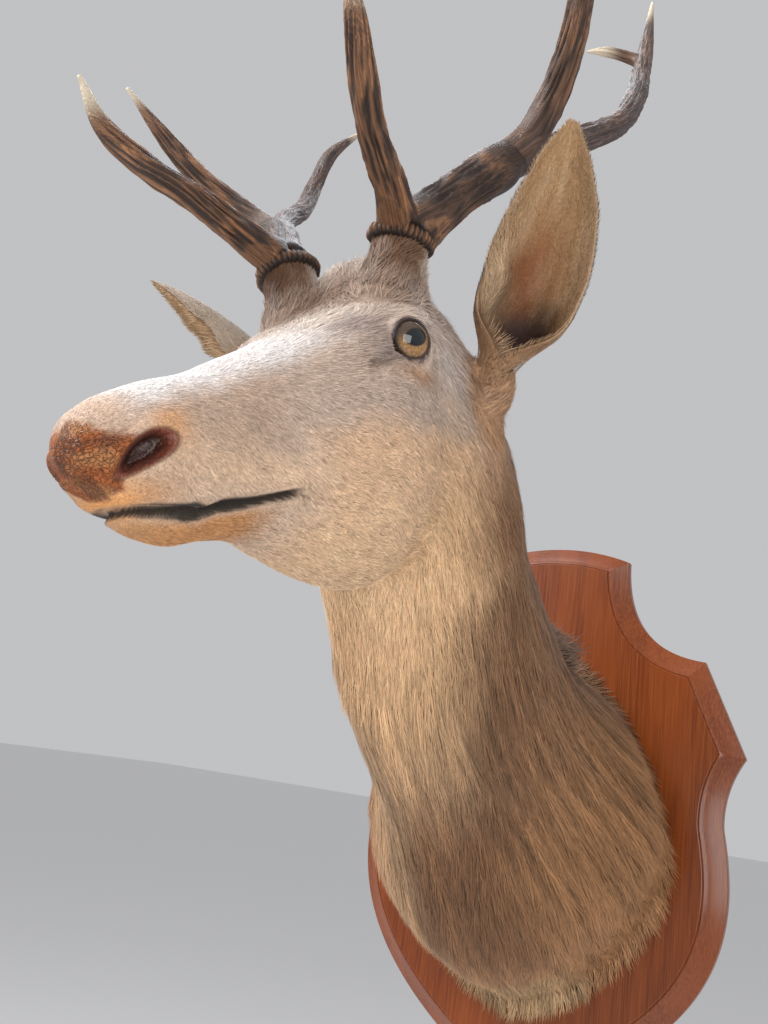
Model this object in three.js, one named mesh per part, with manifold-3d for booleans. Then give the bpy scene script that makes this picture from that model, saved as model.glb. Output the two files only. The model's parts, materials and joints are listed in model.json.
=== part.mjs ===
// Red deer stag head mount: antlered head, neck and breast on a shield-shaped wall board.
//
// Millimetres, +Z up. The origin is the centre of the board's back face, which lies on the wall,
// the plane y = 0. +X is the stag's left side and -Y points from the wall into the room.

import * as THREE from 'three';
import { mergeVertices } from 'three/addons/utils/BufferGeometryUtils.js';
import Module from 'manifold-3d';

const wasm = await Module();
wasm.setup();

// ---------- Driving dimensions ----------

const GAP = 0.3; // clearance between neighbouring solids
const CUTTER_SIZE = 3000; // edge of the blocks that cut solids apart, larger than the whole part

// Board: thickness, height of the plain rim, width of the bevel, then the corners of the shield's
// right half and the control points of the curves between them.
const BOARD_THICK = 22;
const BOARD_RIM = 9;
const BOARD_BEVEL = 21;
const BOARD_TOP = 294;
const BOARD_BOTTOM = -300;
const BOARD_SHOULDER = [91, 277];
const BOARD_STEP = [181, 166];
const BOARD_HORN = [225, 69];
const BOARD_WAIST = [205, -3];
const BOARD_CROWN_BEND = [50, 294];
const BOARD_SHOULDER_BEND = [92, 175];
const BOARD_WAIST_BEND = [203, 35];
const BOARD_FLANK_BENDS = [225, -100, 215, -205];
const BOARD_CURVE_STEPS = 12;

// Head pose: the point midway between the eyes, then yaw, pitch and roll, and the life-size factor.
const EYE_MIDPOINT = new THREE.Vector3(19, -535, 278);
const HEAD_YAW = THREE.MathUtils.degToRad(-6);
const HEAD_PITCH = THREE.MathUtils.degToRad(17.5);
const HEAD_ROLL = THREE.MathUtils.degToRad(7.6);
const HEAD_SCALE = 1.02;

// Glass eyes, in the head's own frame: f forward, l to the stag's left, u up, from EYE_MIDPOINT.
// The lids leave a round opening across the ball, at a distance from its centre along its look.
const EYE_CENTRE = [-2, 69, 8];
const EYE_LOOK = [0.5, 0.86, 0.02];
const EYE_RADIUS = 18;
const LID_RADIUS = 23;
const LID_EDGE = 9.5;
const LID_OPENING = 15.5;

// Mouth line, drawn from its front end to its corner, as forward and upward places in the head.
const MOUTH_FRONT = [239, -106];
const MOUTH_CORNER = [110, -97];

// Head sections from nose to poll: forward and upward place of the top point, the same of the
// bottom point, half width, height of the widest belt (0 bottom, 1 top), and how square the upper
// and lower halves are (2 is an ellipse, more is squarer).
const HEAD_SECTIONS = [
  [251, -69, 250, -83, 8, 0.50, 2.0, 2.0],
  [245, -56, 240, -93, 18, 0.50, 2.0, 1.8],
  [235, -49, 226, -104, 28, 0.50, 2.0, 1.8],
  [220, -41, 210, -113, 37, 0.50, 2.1, 1.8],
  [196, -32, 186, -123, 42, 0.50, 2.1, 1.8],
  [160, -22, 152, -121, 42, 0.52, 2.1, 2.1],
  [125, -8, 118, -123, 45, 0.54, 2.1, 2.0],
  [88, 7, 84, -135, 55, 0.60, 2.1, 2.0],
  [48, 24, 48, -148, 70, 0.72, 2.1, 2.0],
  [10, 41, 14, -157, 80, 0.80, 2.3, 2.0],
  [-32, 66, -12, -160, 81, 0.72, 2.2, 2.1],
  [-76, 102, -34, -158, 80, 0.62, 1.9, 2.1],
];

// Neck sections from throat to board: distance from the wall and height of the top point, the same
// of the bottom point, half width, belt height, squareness above and below, share of the head's
// turn that is left, and the sideways place of the middle.
const NECK_SECTIONS = [
  [366, 379, 442, 147, 91, 0.52, 2.1, 2.1, 1.0, 8],
  [282, 333, 403, 95, 94, 0.50, 2.1, 2.0, 0.7, 5],
  [215, 260, 363, 37, 95, 0.50, 2.0, 1.9, 0.35, 2],
  [107, 184, 260, -50, 107, 0.48, 1.9, 1.9, 0.1, 0],
  [53, 158, 149, -164, 158, 0.46, 1.8, 1.7, 0, 0],
  [BOARD_THICK + GAP, 163, BOARD_THICK + GAP, -214, 162, 0.44, 1.7, 1.6, 0, 0],
];

// Swellings and hollows of the head: place [f, u], spread along f and u, and height. Each is a bell
// that falls to 1/e where the squares of its two spreads add up to RELIEF_REACH.
const RELIEF_REACH = 1.4;
const HEAD_RELIEF = [
  { name: 'brow ridge', at: [-4, 32], spread: [26, 11], height: 7 },
  { name: 'orbit behind', at: [-24, 6], spread: [12, 20], height: 4 },
  { name: 'orbit below', at: [6, -20], spread: [26, 9], height: 3 },
  { name: 'tear pit', at: [40, -11], spread: [9, 9], height: -4 },
  { name: 'cheek bone', at: [60, -44], spread: [46, 15], height: 4 },
  { name: 'jaw muscle', at: [-18, -92], spread: [38, 38], height: 4 },
  { name: 'cheek hollow', at: [112, -62], spread: [34, 17], height: -4 },
  { name: 'temple hollow', at: [-52, 32], spread: [18, 16], height: -4 },
  { name: 'nostril wing', at: [226, -80], spread: [14, 14], height: 4 },
  { name: 'eye hollow', at: [6, 8], spread: [14, 13], height: -10 },
];

// Nostrils: an oval pit sunk from each side, with its half sizes along f, l and u.
const NOSTRIL_AT = [226, 31, -79];
const NOSTRIL_SIZE = [13, 8, 7];

// Ear roots: the furred mound that carries each ear, along a line given from the ear's root.
const EAR_ROOT_LINE = [[4, -45, -27], [-2, -2, -4], [0, 12, 10]];
const EAR_ROOT_RADII = [46, 29, 15];

// Pedicles: foot and burr centre in the head frame, radii at the foot and under the burr.
const PEDICLE_FOOT = [-46, 36, 40];
const BURR_CENTRE = [-59, 52, 103];
const BURR_AXIS = new THREE.Vector3(-0.22, 0.3, 0.93).normalize();
const PEDICLE_RADII = [36, 26];
const BURR_RADIUS = 27;
const BURR_HEIGHT = 13;
const BURR_ROUNDING = 6;
const BURR_RISES = [-1, -0.6, 0, 0.6, 1]; // heights of the rounded edge's corners, per half height

// Antler branches in the head frame, mirrored for the right side: centreline, then radii.
const BROW_TINE = {
  line: [[-54, 54, 112], [-22, 65, 128], [23, 76, 147], [63, 92, 166], [88, 103, 188], [101, 108, 221]],
  radii: [17, 13, 10.5, 9.5, 7, 1.5],
};
const BEAM = {
  line: [[-62, 55, 108], [-84, 71, 128], [-112, 90, 152], [-146, 112, 176], [-160, 122, 186]],
  radii: [24, 20, 18, 20, 9],
};
const TREZ_TINE = {
  line: [[-146, 113, 177], [-157, 134, 196], [-153, 160, 222], [-139, 182, 248], [-118, 205, 288],
    [-95, 231, 343]],
  radii: [16, 14, 12.5, 11, 8.5, 1.5],
};
const REAR_BEAM_RADII = [16, 12.5, 11, 10.5, 9.5, 8, 1.5];
const REAR_BEAM_LEFT = {
  line: [[-148, 112, 178], [-205, 147, 204], [-279, 187, 241], [-334, 199, 286], [-387, 200, 335],
    [-420, 204, 375], [-462, 213, 448]],
  radii: REAR_BEAM_RADII,
};
const REAR_BEAM_RIGHT = {
  line: [[-148, 112, 178], [-205, 147, 206], [-281, 181, 254], [-338, 190, 288], [-388, 197, 338],
    [-411, 184, 379], [-464, 159, 424]],
  radii: REAR_BEAM_RADII,
};
const REAR_TINE = {
  line: [[-409, 200, 358], [-410, 186, 370], [-404, 165, 381], [-400, 147, 386]],
  radii: [7, 6, 5, 1.2],
};

// Ears: half width and wrap of the crescent (degrees from its back to its edge) at even steps from
// root to tip, wall thickness, bow of the line from root to tip, then each ear's ends and opening.
const EAR_HALF_WIDTHS = [22, 34, 42, 43, 41, 35, 27, 17, 3];
const EAR_WRAPS = [150, 125, 98, 84, 76, 70, 64, 58, 50];
const EAR_WALL = 5;
const EAR_BOW = 10;
const EAR_SEAT = 0.75; // share of the crescent's radius that lies behind the line
const EAR_WALL_SHARE = 0.45; // the wall's greatest share of the crescent's radius
const EAR_TIP_THINNING = 0.5; // share of the wall that is lost towards the tip
const EARS = {
  left: { side: 1, root: [-126, 84, -6], tip: [-106, 184, 173], opening: [0.92, 0.24, -0.31] },
  right: { side: -1, root: [-126, -84, 2], tip: [-96, -222, 149], opening: [0.5, -0.8, -0.3] },
};

// Facets: rings along a limb and points around it.
const HEAD_RING_STEP = 15;
const NECK_RING_STEP = 30;
const FLESH_SIDES = 28;
const ANTLER_SIDES = 8;
const ANTLER_STEP = 26;
const PEDICLE_SIDES = 16;
const PEDICLE_STEP = 24;
const EAR_RINGS = 10;
const EAR_ARC_POINTS = 8;
const BALL_SIDES = 14;

// ---------- Materials ----------

const finish = (color, roughness, metalness = 0) =>
  new THREE.MeshStandardMaterial({ color, roughness, metalness });

const BOARD_WOOD = finish(0xa8562a, 0.4);
const COAT_FACE = finish(0xc9ae8e, 0.9);
const COAT_NECK = finish(0xa9835d, 0.95);
const COAT_BREAST = finish(0x99744f, 0.95);
const EAR_SKIN = finish(0xc49a6c, 0.9);
const GLASS = finish(0x2a1a10, 0.08);
const ANTLER_BROWN = finish(0x4a3423, 0.6);
const ANTLER_TINE = finish(0x6b4a2c, 0.55);

// ---------- Frames and small maths ----------

// The head's forward, left and up directions in the part's frame.
function headAxes() {
  const cosPitch = Math.cos(HEAD_PITCH);
  const forward = new THREE.Vector3(
    -Math.sin(HEAD_YAW) * cosPitch,
    -Math.cos(HEAD_YAW) * cosPitch,
    -Math.sin(HEAD_PITCH),
  );
  const levelLeft = new THREE.Vector3(Math.cos(HEAD_YAW), -Math.sin(HEAD_YAW), 0);
  const levelUp = new THREE.Vector3().crossVectors(forward, levelLeft);
  const left = levelLeft.clone().applyAxisAngle(forward, HEAD_ROLL);
  const up = levelUp.clone().applyAxisAngle(forward, HEAD_ROLL);
  return { forward, left, up };
}

const HEAD = headAxes();

// A direction given in the head's frame, turned into the part's frame.
function headDirection([f, l, u]) {
  return new THREE.Vector3()
    .addScaledVector(HEAD.forward, f)
    .addScaledVector(HEAD.left, l)
    .addScaledVector(HEAD.up, u);
}

// A place given in the head's frame, in millimetres before the life-size factor.
function headPoint(place) {
  return headDirection(place).multiplyScalar(HEAD_SCALE).add(EYE_MIDPOINT);
}

// Forward, left and up of a point, the reverse of headPoint.
function inHead(point) {
  const offset = point.clone().sub(EYE_MIDPOINT).divideScalar(HEAD_SCALE);
  return [offset.dot(HEAD.forward), offset.dot(HEAD.left), offset.dot(HEAD.up)];
}

const mirrored = ([f, l, u], side) => [f, l * side, u];

// Catmull-Rom value at position t of a row of numbers.
function smooth(values, t) {
  const last = values.length - 1;
  const i = Math.min(Math.floor(t), last - 1);
  const s = t - i;
  const p1 = values[i];
  const p2 = values[i + 1];
  const p0 = i > 0 ? values[i - 1] : 2 * p1 - p2;
  const p3 = i + 2 <= last ? values[i + 2] : 2 * p2 - p1;
  const slope1 = (p2 - p0) / 2;
  const slope2 = (p3 - p1) / 2;
  const s2 = s * s;
  const s3 = s2 * s;
  const blend = 3 * s2 - 2 * s3;
  return (1 - blend) * p1 + blend * p2 + (s3 - 2 * s2 + s) * slope1 + (s3 - s2) * slope2;
}

// ---------- Solids ----------

// A closed geometry from rings of points, with strip-filled ends. Its faces are turned outwards.
function ringSolid(rings) {
  const sides = rings[0].length;
  const positions = rings.flat().flatMap((p) => [p.x, p.y, p.z]);
  const indices = [];
  for (let r = 0; r < rings.length - 1; r += 1) {
    for (let k = 0; k < sides; k += 1) {
      const a = r * sides + k;
      const b = r * sides + ((k + 1) % sides);
      indices.push(a, b, a + sides, b, b + sides, a + sides);
    }
  }
  const end = (rings.length - 1) * sides;
  for (let k = 0; k < sides / 2 - 1; k += 1) {
    const a = k;
    const b = k + 1;
    const c = sides - 1 - k;
    const d = sides - 2 - k;
    indices.push(a, c, b);
    indices.push(end + a, end + b, end + c);
    if (b !== d) {
      indices.push(b, c, d);
      indices.push(end + b, end + d, end + c);
    }
  }
  const geometry = new THREE.BufferGeometry();
  geometry.setAttribute('position', new THREE.Float32BufferAttribute(positions, 3));
  geometry.setIndex(signedVolume(positions, indices) > 0 ? indices : indices.toReversed());
  return geometry;
}

// Six times the signed volume of a triangle mesh: positive when its faces point outwards.
function signedVolume(positions, indices) {
  const corner = (i) => new THREE.Vector3().fromArray(positions, 3 * i);
  let sum = 0;
  for (let i = 0; i < indices.length; i += 3) {
    const [a, b, c] = [corner(indices[i]), corner(indices[i + 1]), corner(indices[i + 2])];
    sum += a.dot(b.cross(c));
  }
  return sum;
}

function toSolid(geometry) {
  const bare = geometry.clone();
  bare.deleteAttribute('normal');
  bare.deleteAttribute('uv');
  const merged = mergeVertices(bare, 1e-4);
  return new wasm.Manifold(new wasm.Mesh({
    numProp: 3,
    vertProperties: new Float32Array(merged.attributes.position.array),
    triVerts: new Uint32Array(merged.index.array),
  }));
}

function toGeometry(solid) {
  const { numProp, vertProperties, triVerts } = solid.getMesh();
  const positions = [];
  for (let i = 0; i < vertProperties.length; i += numProp) {
    positions.push(vertProperties[i], vertProperties[i + 1], vertProperties[i + 2]);
  }
  const geometry = new THREE.BufferGeometry();
  geometry.setAttribute('position', new THREE.Float32BufferAttribute(positions, 3));
  geometry.setIndex([...triVerts]);
  return geometry;
}

// A block that fills one side of a plane, starting half a gap from it.
function halfSpace(point, normal) {
  const box = new THREE.BoxGeometry(CUTTER_SIZE, CUTTER_SIZE, CUTTER_SIZE);
  const turn = new THREE.Quaternion().setFromUnitVectors(new THREE.Vector3(0, 0, 1), normal);
  box.translate(0, 0, (CUTTER_SIZE + GAP) / 2);
  box.applyQuaternion(turn);
  box.translate(point.x, point.y, point.z);
  return toSolid(box);
}

// The two pieces of a solid on either side of a plane, a gap apart: [ahead, behind].
function parted(solid, point, normal) {
  const ahead = solid.intersect(halfSpace(point, normal));
  const behind = solid.intersect(halfSpace(point, normal.clone().negate()));
  return [ahead, behind];
}

// ---------- Flesh ----------

// Every section as { top, bottom, side, width, belt, upper, lower }, from nose to board.
function fleshSections() {
  const head = HEAD_SECTIONS.map(([ft, ut, fb, ub, width, belt, upper, lower]) => ({
    top: headPoint([ft, 0, ut]),
    bottom: headPoint([fb, 0, ub]),
    side: HEAD.left.clone(),
    width: width * HEAD_SCALE,
    belt,
    upper,
    lower,
  }));
  const neck = NECK_SECTIONS.map(([st, zt, sb, zb, width, belt, upper, lower, turn, x]) => {
    const side = new THREE.Vector3(1, 0, 0).lerp(HEAD.left, turn).normalize();
    const tilt = side.z * (zt - zb) * 0.5;
    return {
      top: new THREE.Vector3(x - tilt, -st, zt),
      bottom: new THREE.Vector3(x + tilt, -sb, zb),
      side,
      width,
      belt,
      upper,
      lower,
    };
  });
  return [...head, ...neck];
}

// Height of the head's relief at a forward and upward place, summed over its swellings.
function relief(f, u) {
  return HEAD_RELIEF.reduce((sum, { at, spread, height }) => {
    const df = (f - at[0]) / spread[0];
    const du = (u - at[1]) / spread[1];
    return sum + height * Math.exp(-(df * df + du * du) / RELIEF_REACH);
  }, 0);
}

// One ring of the flesh at position t along the sections.
function fleshRing(sections, t) {
  const number = (key) => smooth(sections.map((s) => s[key]), t);
  const vector = (key) => new THREE.Vector3(
    smooth(sections.map((s) => s[key].x), t),
    smooth(sections.map((s) => s[key].y), t),
    smooth(sections.map((s) => s[key].z), t),
  );
  const top = vector('top');
  const bottom = vector('bottom');
  const side = vector('side').normalize();
  const middle = bottom.clone().lerp(top, number('belt'));
  const reliefShare = THREE.MathUtils.clamp(HEAD_SECTIONS.length - t, 0, 1);
  const ring = [];
  for (let k = 0; k < FLESH_SIDES; k += 1) {
    const angle = ((k + 0.5) / FLESH_SIDES) * 2 * Math.PI - Math.PI / 2;
    const across = Math.cos(angle);
    const rise = Math.sin(angle);
    const power = 2 / number(rise > 0 ? 'upper' : 'lower');
    const reach = (rise > 0 ? top : bottom).clone().sub(middle);
    const offset = reach.multiplyScalar(Math.abs(rise) ** power)
      .addScaledVector(side, Math.sign(across) * Math.abs(across) ** power * number('width'));
    const point = middle.clone().add(offset);
    const [f, , u] = inHead(point);
    const outward = side.clone().multiplyScalar(Math.sign(across) * Math.abs(across) ** 0.5);
    ring.push(point.addScaledVector(outward, relief(f, u) * reliefShare));
  }
  return ring;
}

function fleshSolid() {
  const sections = fleshSections();
  const middles = sections.map(({ top, bottom }) => bottom.clone().lerp(top, 0.5));
  const rings = [fleshRing(sections, 0)];
  for (let i = 0; i < sections.length - 1; i += 1) {
    const step = i < HEAD_SECTIONS.length ? HEAD_RING_STEP : NECK_RING_STEP;
    const count = Math.max(1, Math.round(middles[i].distanceTo(middles[i + 1]) / step));
    for (let k = 1; k <= count; k += 1) {
      rings.push(fleshRing(sections, i + k / count));
    }
  }
  return toSolid(ringSolid(rings));
}

// The plane of a neck section: a point on it and its normal, pointing to the nose.
function neckPlane(index) {
  const { top, bottom, side } = fleshSections()[HEAD_SECTIONS.length + index];
  const normal = new THREE.Vector3().crossVectors(top.clone().sub(bottom), side).normalize();
  if (normal.y > 0) {
    normal.negate();
  }
  return [bottom.clone().lerp(top, 0.5), normal];
}

// ---------- Eyes ----------

function ball(centre, radius) {
  const { x, y, z } = centre;
  return toSolid(new THREE.SphereGeometry(radius, BALL_SIDES, BALL_SIDES / 2 + 2).translate(x, y, z));
}

const eyeCentre = (side) => headPoint(mirrored(EYE_CENTRE, side));
const eyeLook = (side) => headDirection(mirrored(EYE_LOOK, side)).normalize();
const eyeball = (side, growth = 0) => ball(eyeCentre(side), EYE_RADIUS + growth);

// The lids: a shell round the ball that ends at their edge.
function lids(side) {
  const look = eyeLook(side);
  const edge = eyeCentre(side).addScaledVector(look, LID_EDGE);
  return ball(eyeCentre(side), LID_RADIUS).intersect(halfSpace(edge, look.negate()));
}

// The round opening between the lids, reaching from the ball's centre out of the head.
function lidOpening(side) {
  const look = eyeLook(side);
  const reach = 3 * EYE_RADIUS;
  const opening = new THREE.CylinderGeometry(LID_OPENING, LID_OPENING, reach, BALL_SIDES);
  opening.applyQuaternion(new THREE.Quaternion().setFromUnitVectors(new THREE.Vector3(0, 1, 0), look));
  const { x, y, z } = eyeCentre(side).addScaledVector(look, reach / 2);
  return toSolid(opening.translate(x, y, z));
}

// ---------- Nostrils ----------

function nostril(side) {
  const pit = new THREE.SphereGeometry(1, BALL_SIDES, BALL_SIDES / 2).scale(...NOSTRIL_SIZE);
  const turn = new THREE.Matrix4().makeBasis(HEAD.forward, HEAD.left, HEAD.up);
  const { x, y, z } = headPoint(mirrored(NOSTRIL_AT, side));
  return toSolid(pit.applyMatrix4(turn).translate(x, y, z));
}

// ---------- Tubes: antlers, pedicles and ear roots ----------

// A closed limb of round section along a smooth line, its radii spread evenly over the points.
function limb(line, radii, sides, step) {
  const curve = new THREE.CatmullRomCurve3(line);
  const count = Math.max(2, Math.round(curve.getLength() / step));
  const frames = curve.computeFrenetFrames(count, false);
  const rings = [];
  for (let i = 0; i <= count; i += 1) {
    const u = i / count;
    const t = curve.getUtoTmapping(u);
    const centre = curve.getPoint(t);
    const radius = smooth(radii, t * (radii.length - 1));
    rings.push(Array.from({ length: sides }, (_, k) => {
      const angle = (k / sides) * 2 * Math.PI;
      return centre.clone()
        .addScaledVector(frames.normals[i], radius * Math.cos(angle))
        .addScaledVector(frames.binormals[i], radius * Math.sin(angle));
    }));
  }
  return ringSolid(rings);
}

function branch({ line, radii }, side, growth = 0) {
  const points = line.map((place) => headPoint(mirrored(place, side)));
  const sizes = radii.map((radius) => radius * HEAD_SCALE + growth);
  return toSolid(limb(points, sizes, ANTLER_SIDES, ANTLER_STEP));
}

// The burr's centre and axis on one side, in the part's frame.
function burrFrame(side) {
  const centre = headPoint(mirrored(BURR_CENTRE, side));
  const axis = headDirection(mirrored(BURR_AXIS.toArray(), side)).normalize();
  return { centre, axis };
}

// The burr: a thick ring with a rounded edge, turned from its profile.
function burr(side) {
  const { centre, axis } = burrFrame(side);
  const half = BURR_HEIGHT / 2;
  const inner = BURR_RADIUS - BURR_ROUNDING;
  const profile = [new THREE.Vector2(0, -half)];
  for (const rise of BURR_RISES) {
    const bulge = Math.sqrt(1 - rise * rise);
    profile.push(new THREE.Vector2(inner + BURR_ROUNDING * bulge, rise * half));
  }
  profile.push(new THREE.Vector2(0, half));
  const geometry = new THREE.LatheGeometry(profile, PEDICLE_SIDES);
  geometry.applyQuaternion(new THREE.Quaternion().setFromUnitVectors(new THREE.Vector3(0, 1, 0), axis));
  geometry.translate(centre.x, centre.y, centre.z);
  return toSolid(geometry);
}

// One antler as named solids: each tine is cut back where it grows from the beam.
function antler(side) {
  const { centre, axis } = burrFrame(side);
  const seat = centre.clone().addScaledVector(axis, BURR_HEIGHT / 2 + GAP / 2);
  const above = halfSpace(seat, axis);
  const beam = branch(BEAM, side).intersect(above);
  const thickBeam = branch(BEAM, side, GAP);
  const rear = side > 0 ? REAR_BEAM_LEFT : REAR_BEAM_RIGHT;
  const pieces = {
    burr: burr(side),
    beam,
    brow_tine: branch(BROW_TINE, side).intersect(above).subtract(thickBeam),
    trez_tine: branch(TREZ_TINE, side).subtract(thickBeam),
    rear_beam: branch(rear, side).subtract(thickBeam).subtract(branch(TREZ_TINE, side, GAP)),
  };
  if (side > 0) {
    pieces.rear_tine = branch(REAR_TINE, side).subtract(branch(rear, side, GAP));
  }
  return pieces;
}

// The furred stalk under a burr, cut flat a gap below it.
function pedicle(side) {
  const { centre, axis } = burrFrame(side);
  const foot = headPoint(mirrored(PEDICLE_FOOT, side));
  const stalk = toSolid(limb([foot, centre], PEDICLE_RADII, PEDICLE_SIDES, PEDICLE_STEP));
  const seat = centre.clone().addScaledVector(axis, -(BURR_HEIGHT / 2 + GAP / 2));
  return stalk.intersect(halfSpace(seat, axis.clone().negate()));
}

// The mound under an ear, from inside the skull to the ear's root.
function earRoot({ root, side }) {
  const line = EAR_ROOT_LINE.map(([f, l, u]) =>
    headPoint([root[0] + f, root[1] + l * side, root[2] + u]));
  return toSolid(limb(line, EAR_ROOT_RADII, PEDICLE_SIDES, PEDICLE_STEP));
}

// ---------- Ears ----------

// A cupped leaf: each ring is a crescent whose back follows the line from root to tip. It starts
// nearly closed, as a tube, opens to its widest at a third of its length and ends in a point.
function ear({ side, root, tip, opening }) {
  const start = headPoint(root);
  const end = headPoint(tip);
  const axis = end.clone().sub(start).normalize();
  const open = headDirection(opening).projectOnPlane(axis).normalize();
  const across = new THREE.Vector3().crossVectors(axis, open);
  const rings = [];
  for (let i = 0; i <= EAR_RINGS; i += 1) {
    const t = i / EAR_RINGS;
    const place = t * (EAR_HALF_WIDTHS.length - 1);
    const halfWidth = smooth(EAR_HALF_WIDTHS, place);
    const wrap = THREE.MathUtils.degToRad(smooth(EAR_WRAPS, place));
    const radius = halfWidth / Math.sin(Math.min(wrap, Math.PI / 2));
    const wall = Math.min(EAR_WALL, radius * EAR_WALL_SHARE) * (1 - EAR_TIP_THINNING * t);
    const bow = Math.sin(Math.PI * t) * EAR_BOW;
    const centre = start.clone().lerp(end, t)
      .addScaledVector(open, radius * EAR_SEAT - bow)
      .addScaledVector(across, side * bow);
    const arc = (r, from, to) => Array.from({ length: EAR_ARC_POINTS }, (_, k) => {
      const angle = from + ((to - from) * k) / (EAR_ARC_POINTS - 1);
      return centre.clone()
        .addScaledVector(across, r * Math.sin(angle))
        .addScaledVector(open, -r * Math.cos(angle));
    });
    rings.push([...arc(radius, -wrap, wrap), ...arc(radius - wall, wrap, -wrap)]);
  }
  return toSolid(ringSolid(rings));
}

// An ear cut back to the flesh it grows from, then drawn off it by a gap along its own length.
function clearOf(flesh, leaf, { root, tip }) {
  const { x, y, z } = headPoint(tip).sub(headPoint(root)).setLength(GAP);
  return leaf.subtract(flesh).subtract(flesh.translate([x, y, z]));
}

// ---------- Board ----------

// Right half of the shield's outline from top to bottom, as a path of lines and curves.
function shieldHalf() {
  const path = new THREE.Path();
  path.moveTo(0, BOARD_TOP);
  path.quadraticCurveTo(...BOARD_CROWN_BEND, ...BOARD_SHOULDER);
  path.quadraticCurveTo(...BOARD_SHOULDER_BEND, ...BOARD_STEP);
  path.lineTo(...BOARD_HORN);
  path.quadraticCurveTo(...BOARD_WAIST_BEND, ...BOARD_WAIST);
  path.bezierCurveTo(...BOARD_FLANK_BENDS, 0, BOARD_BOTTOM);
  return path.getPoints(BOARD_CURVE_STEPS);
}

// The whole outline, left half mirrored, without doubled points on the middle line.
function shieldOutline() {
  const right = shieldHalf();
  const left = right.slice(1, -1).reverse().map((p) => new THREE.Vector2(-p.x, p.y));
  return [...right, ...left];
}

// The outline moved inwards by a distance, each corner along its mitre, at most twice the distance.
function insetOutline(outline, distance) {
  return outline.map((point, i) => {
    const before = outline[(i + outline.length - 1) % outline.length];
    const after = outline[(i + 1) % outline.length];
    const a = point.clone().sub(before).normalize();
    const b = after.clone().sub(point).normalize();
    const inward = new THREE.Vector2(a.y + b.y, -a.x - b.x).normalize();
    const mitre = 1 / Math.max(0.5, Math.sqrt((1 + a.dot(b)) / 2));
    return point.clone().addScaledVector(inward, distance * mitre);
  });
}

function board() {
  const outline = shieldOutline();
  const inner = insetOutline(outline, BOARD_BEVEL);
  const place = (points, depth) => points.map((p) => new THREE.Vector3(p.x, -depth, p.y));
  const rings = [place(outline, 0), place(outline, BOARD_RIM), place(inner, BOARD_THICK)];
  return toSolid(ringSolid(rings));
}

// ---------- Assembly ----------

const stag = new THREE.Group();

function addNode(name, solid, material) {
  const mesh = new THREE.Mesh(toGeometry(solid), material);
  mesh.name = name;
  stag.add(mesh);
}

addNode('board', board(), BOARD_WOOD);

let flesh = fleshSolid();
for (const side of [1, -1]) {
  flesh = flesh.add(pedicle(side)).add(lids(side)).subtract(lidOpening(side));
  flesh = flesh.subtract(eyeball(side, GAP)).subtract(nostril(side));
}
flesh = flesh.add(earRoot(EARS.left)).add(earRoot(EARS.right));

// The mouth's plane rises from its corner to its front; its normal points up through the muzzle.
const mouthCorner = headPoint([MOUTH_CORNER[0], 0, MOUTH_CORNER[1]]);
const mouthNormal = headDirection([
  MOUTH_CORNER[1] - MOUTH_FRONT[1],
  0,
  MOUTH_FRONT[0] - MOUTH_CORNER[0],
]).normalize();

const [headAll, neckAll] = parted(flesh, ...neckPlane(0));
const [snout, head] = parted(headAll, mouthCorner, HEAD.forward);
const [muzzle, lowerJaw] = parted(snout, mouthCorner, mouthNormal);
const [neckUpper, neckRest] = parted(neckAll, ...neckPlane(2));
const [neckLower, breast] = parted(neckRest, ...neckPlane(3));

addNode('breast', breast, COAT_BREAST);
addNode('neck_lower', neckLower, COAT_NECK);
addNode('neck_upper', neckUpper, COAT_NECK);
addNode('head', head, COAT_FACE);
addNode('muzzle', muzzle, COAT_FACE);
addNode('lower_jaw', lowerJaw, COAT_FACE);

for (const [sideName, side] of [['left', 1], ['right', -1]]) {
  addNode(`eye_${sideName}`, eyeball(side), GLASS);
  addNode(`ear_${sideName}`, clearOf(flesh, ear(EARS[sideName]), EARS[sideName]), EAR_SKIN);
  for (const [pieceName, solid] of Object.entries(antler(side))) {
    const material = pieceName.includes('tine') ? ANTLER_TINE : ANTLER_BROWN;
    addNode(`antler_${sideName}_${pieceName}`, solid, material);
  }
}

export default stag;
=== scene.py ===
# %% [markdown]
# # A red deer stag's head, mounted on a wooden shield
#
# The real thing is a tanned skin drawn over a form, with glass eyes, the stag's own antlers and a
# varnished board that hangs on the wall. This lesson builds its looks round a frame of plain solids.
# The frame fixes every place, so we load it first.

# %% Load the frame
import json
import bpy
import numpy as np
from mathutils import Matrix, Vector

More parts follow.
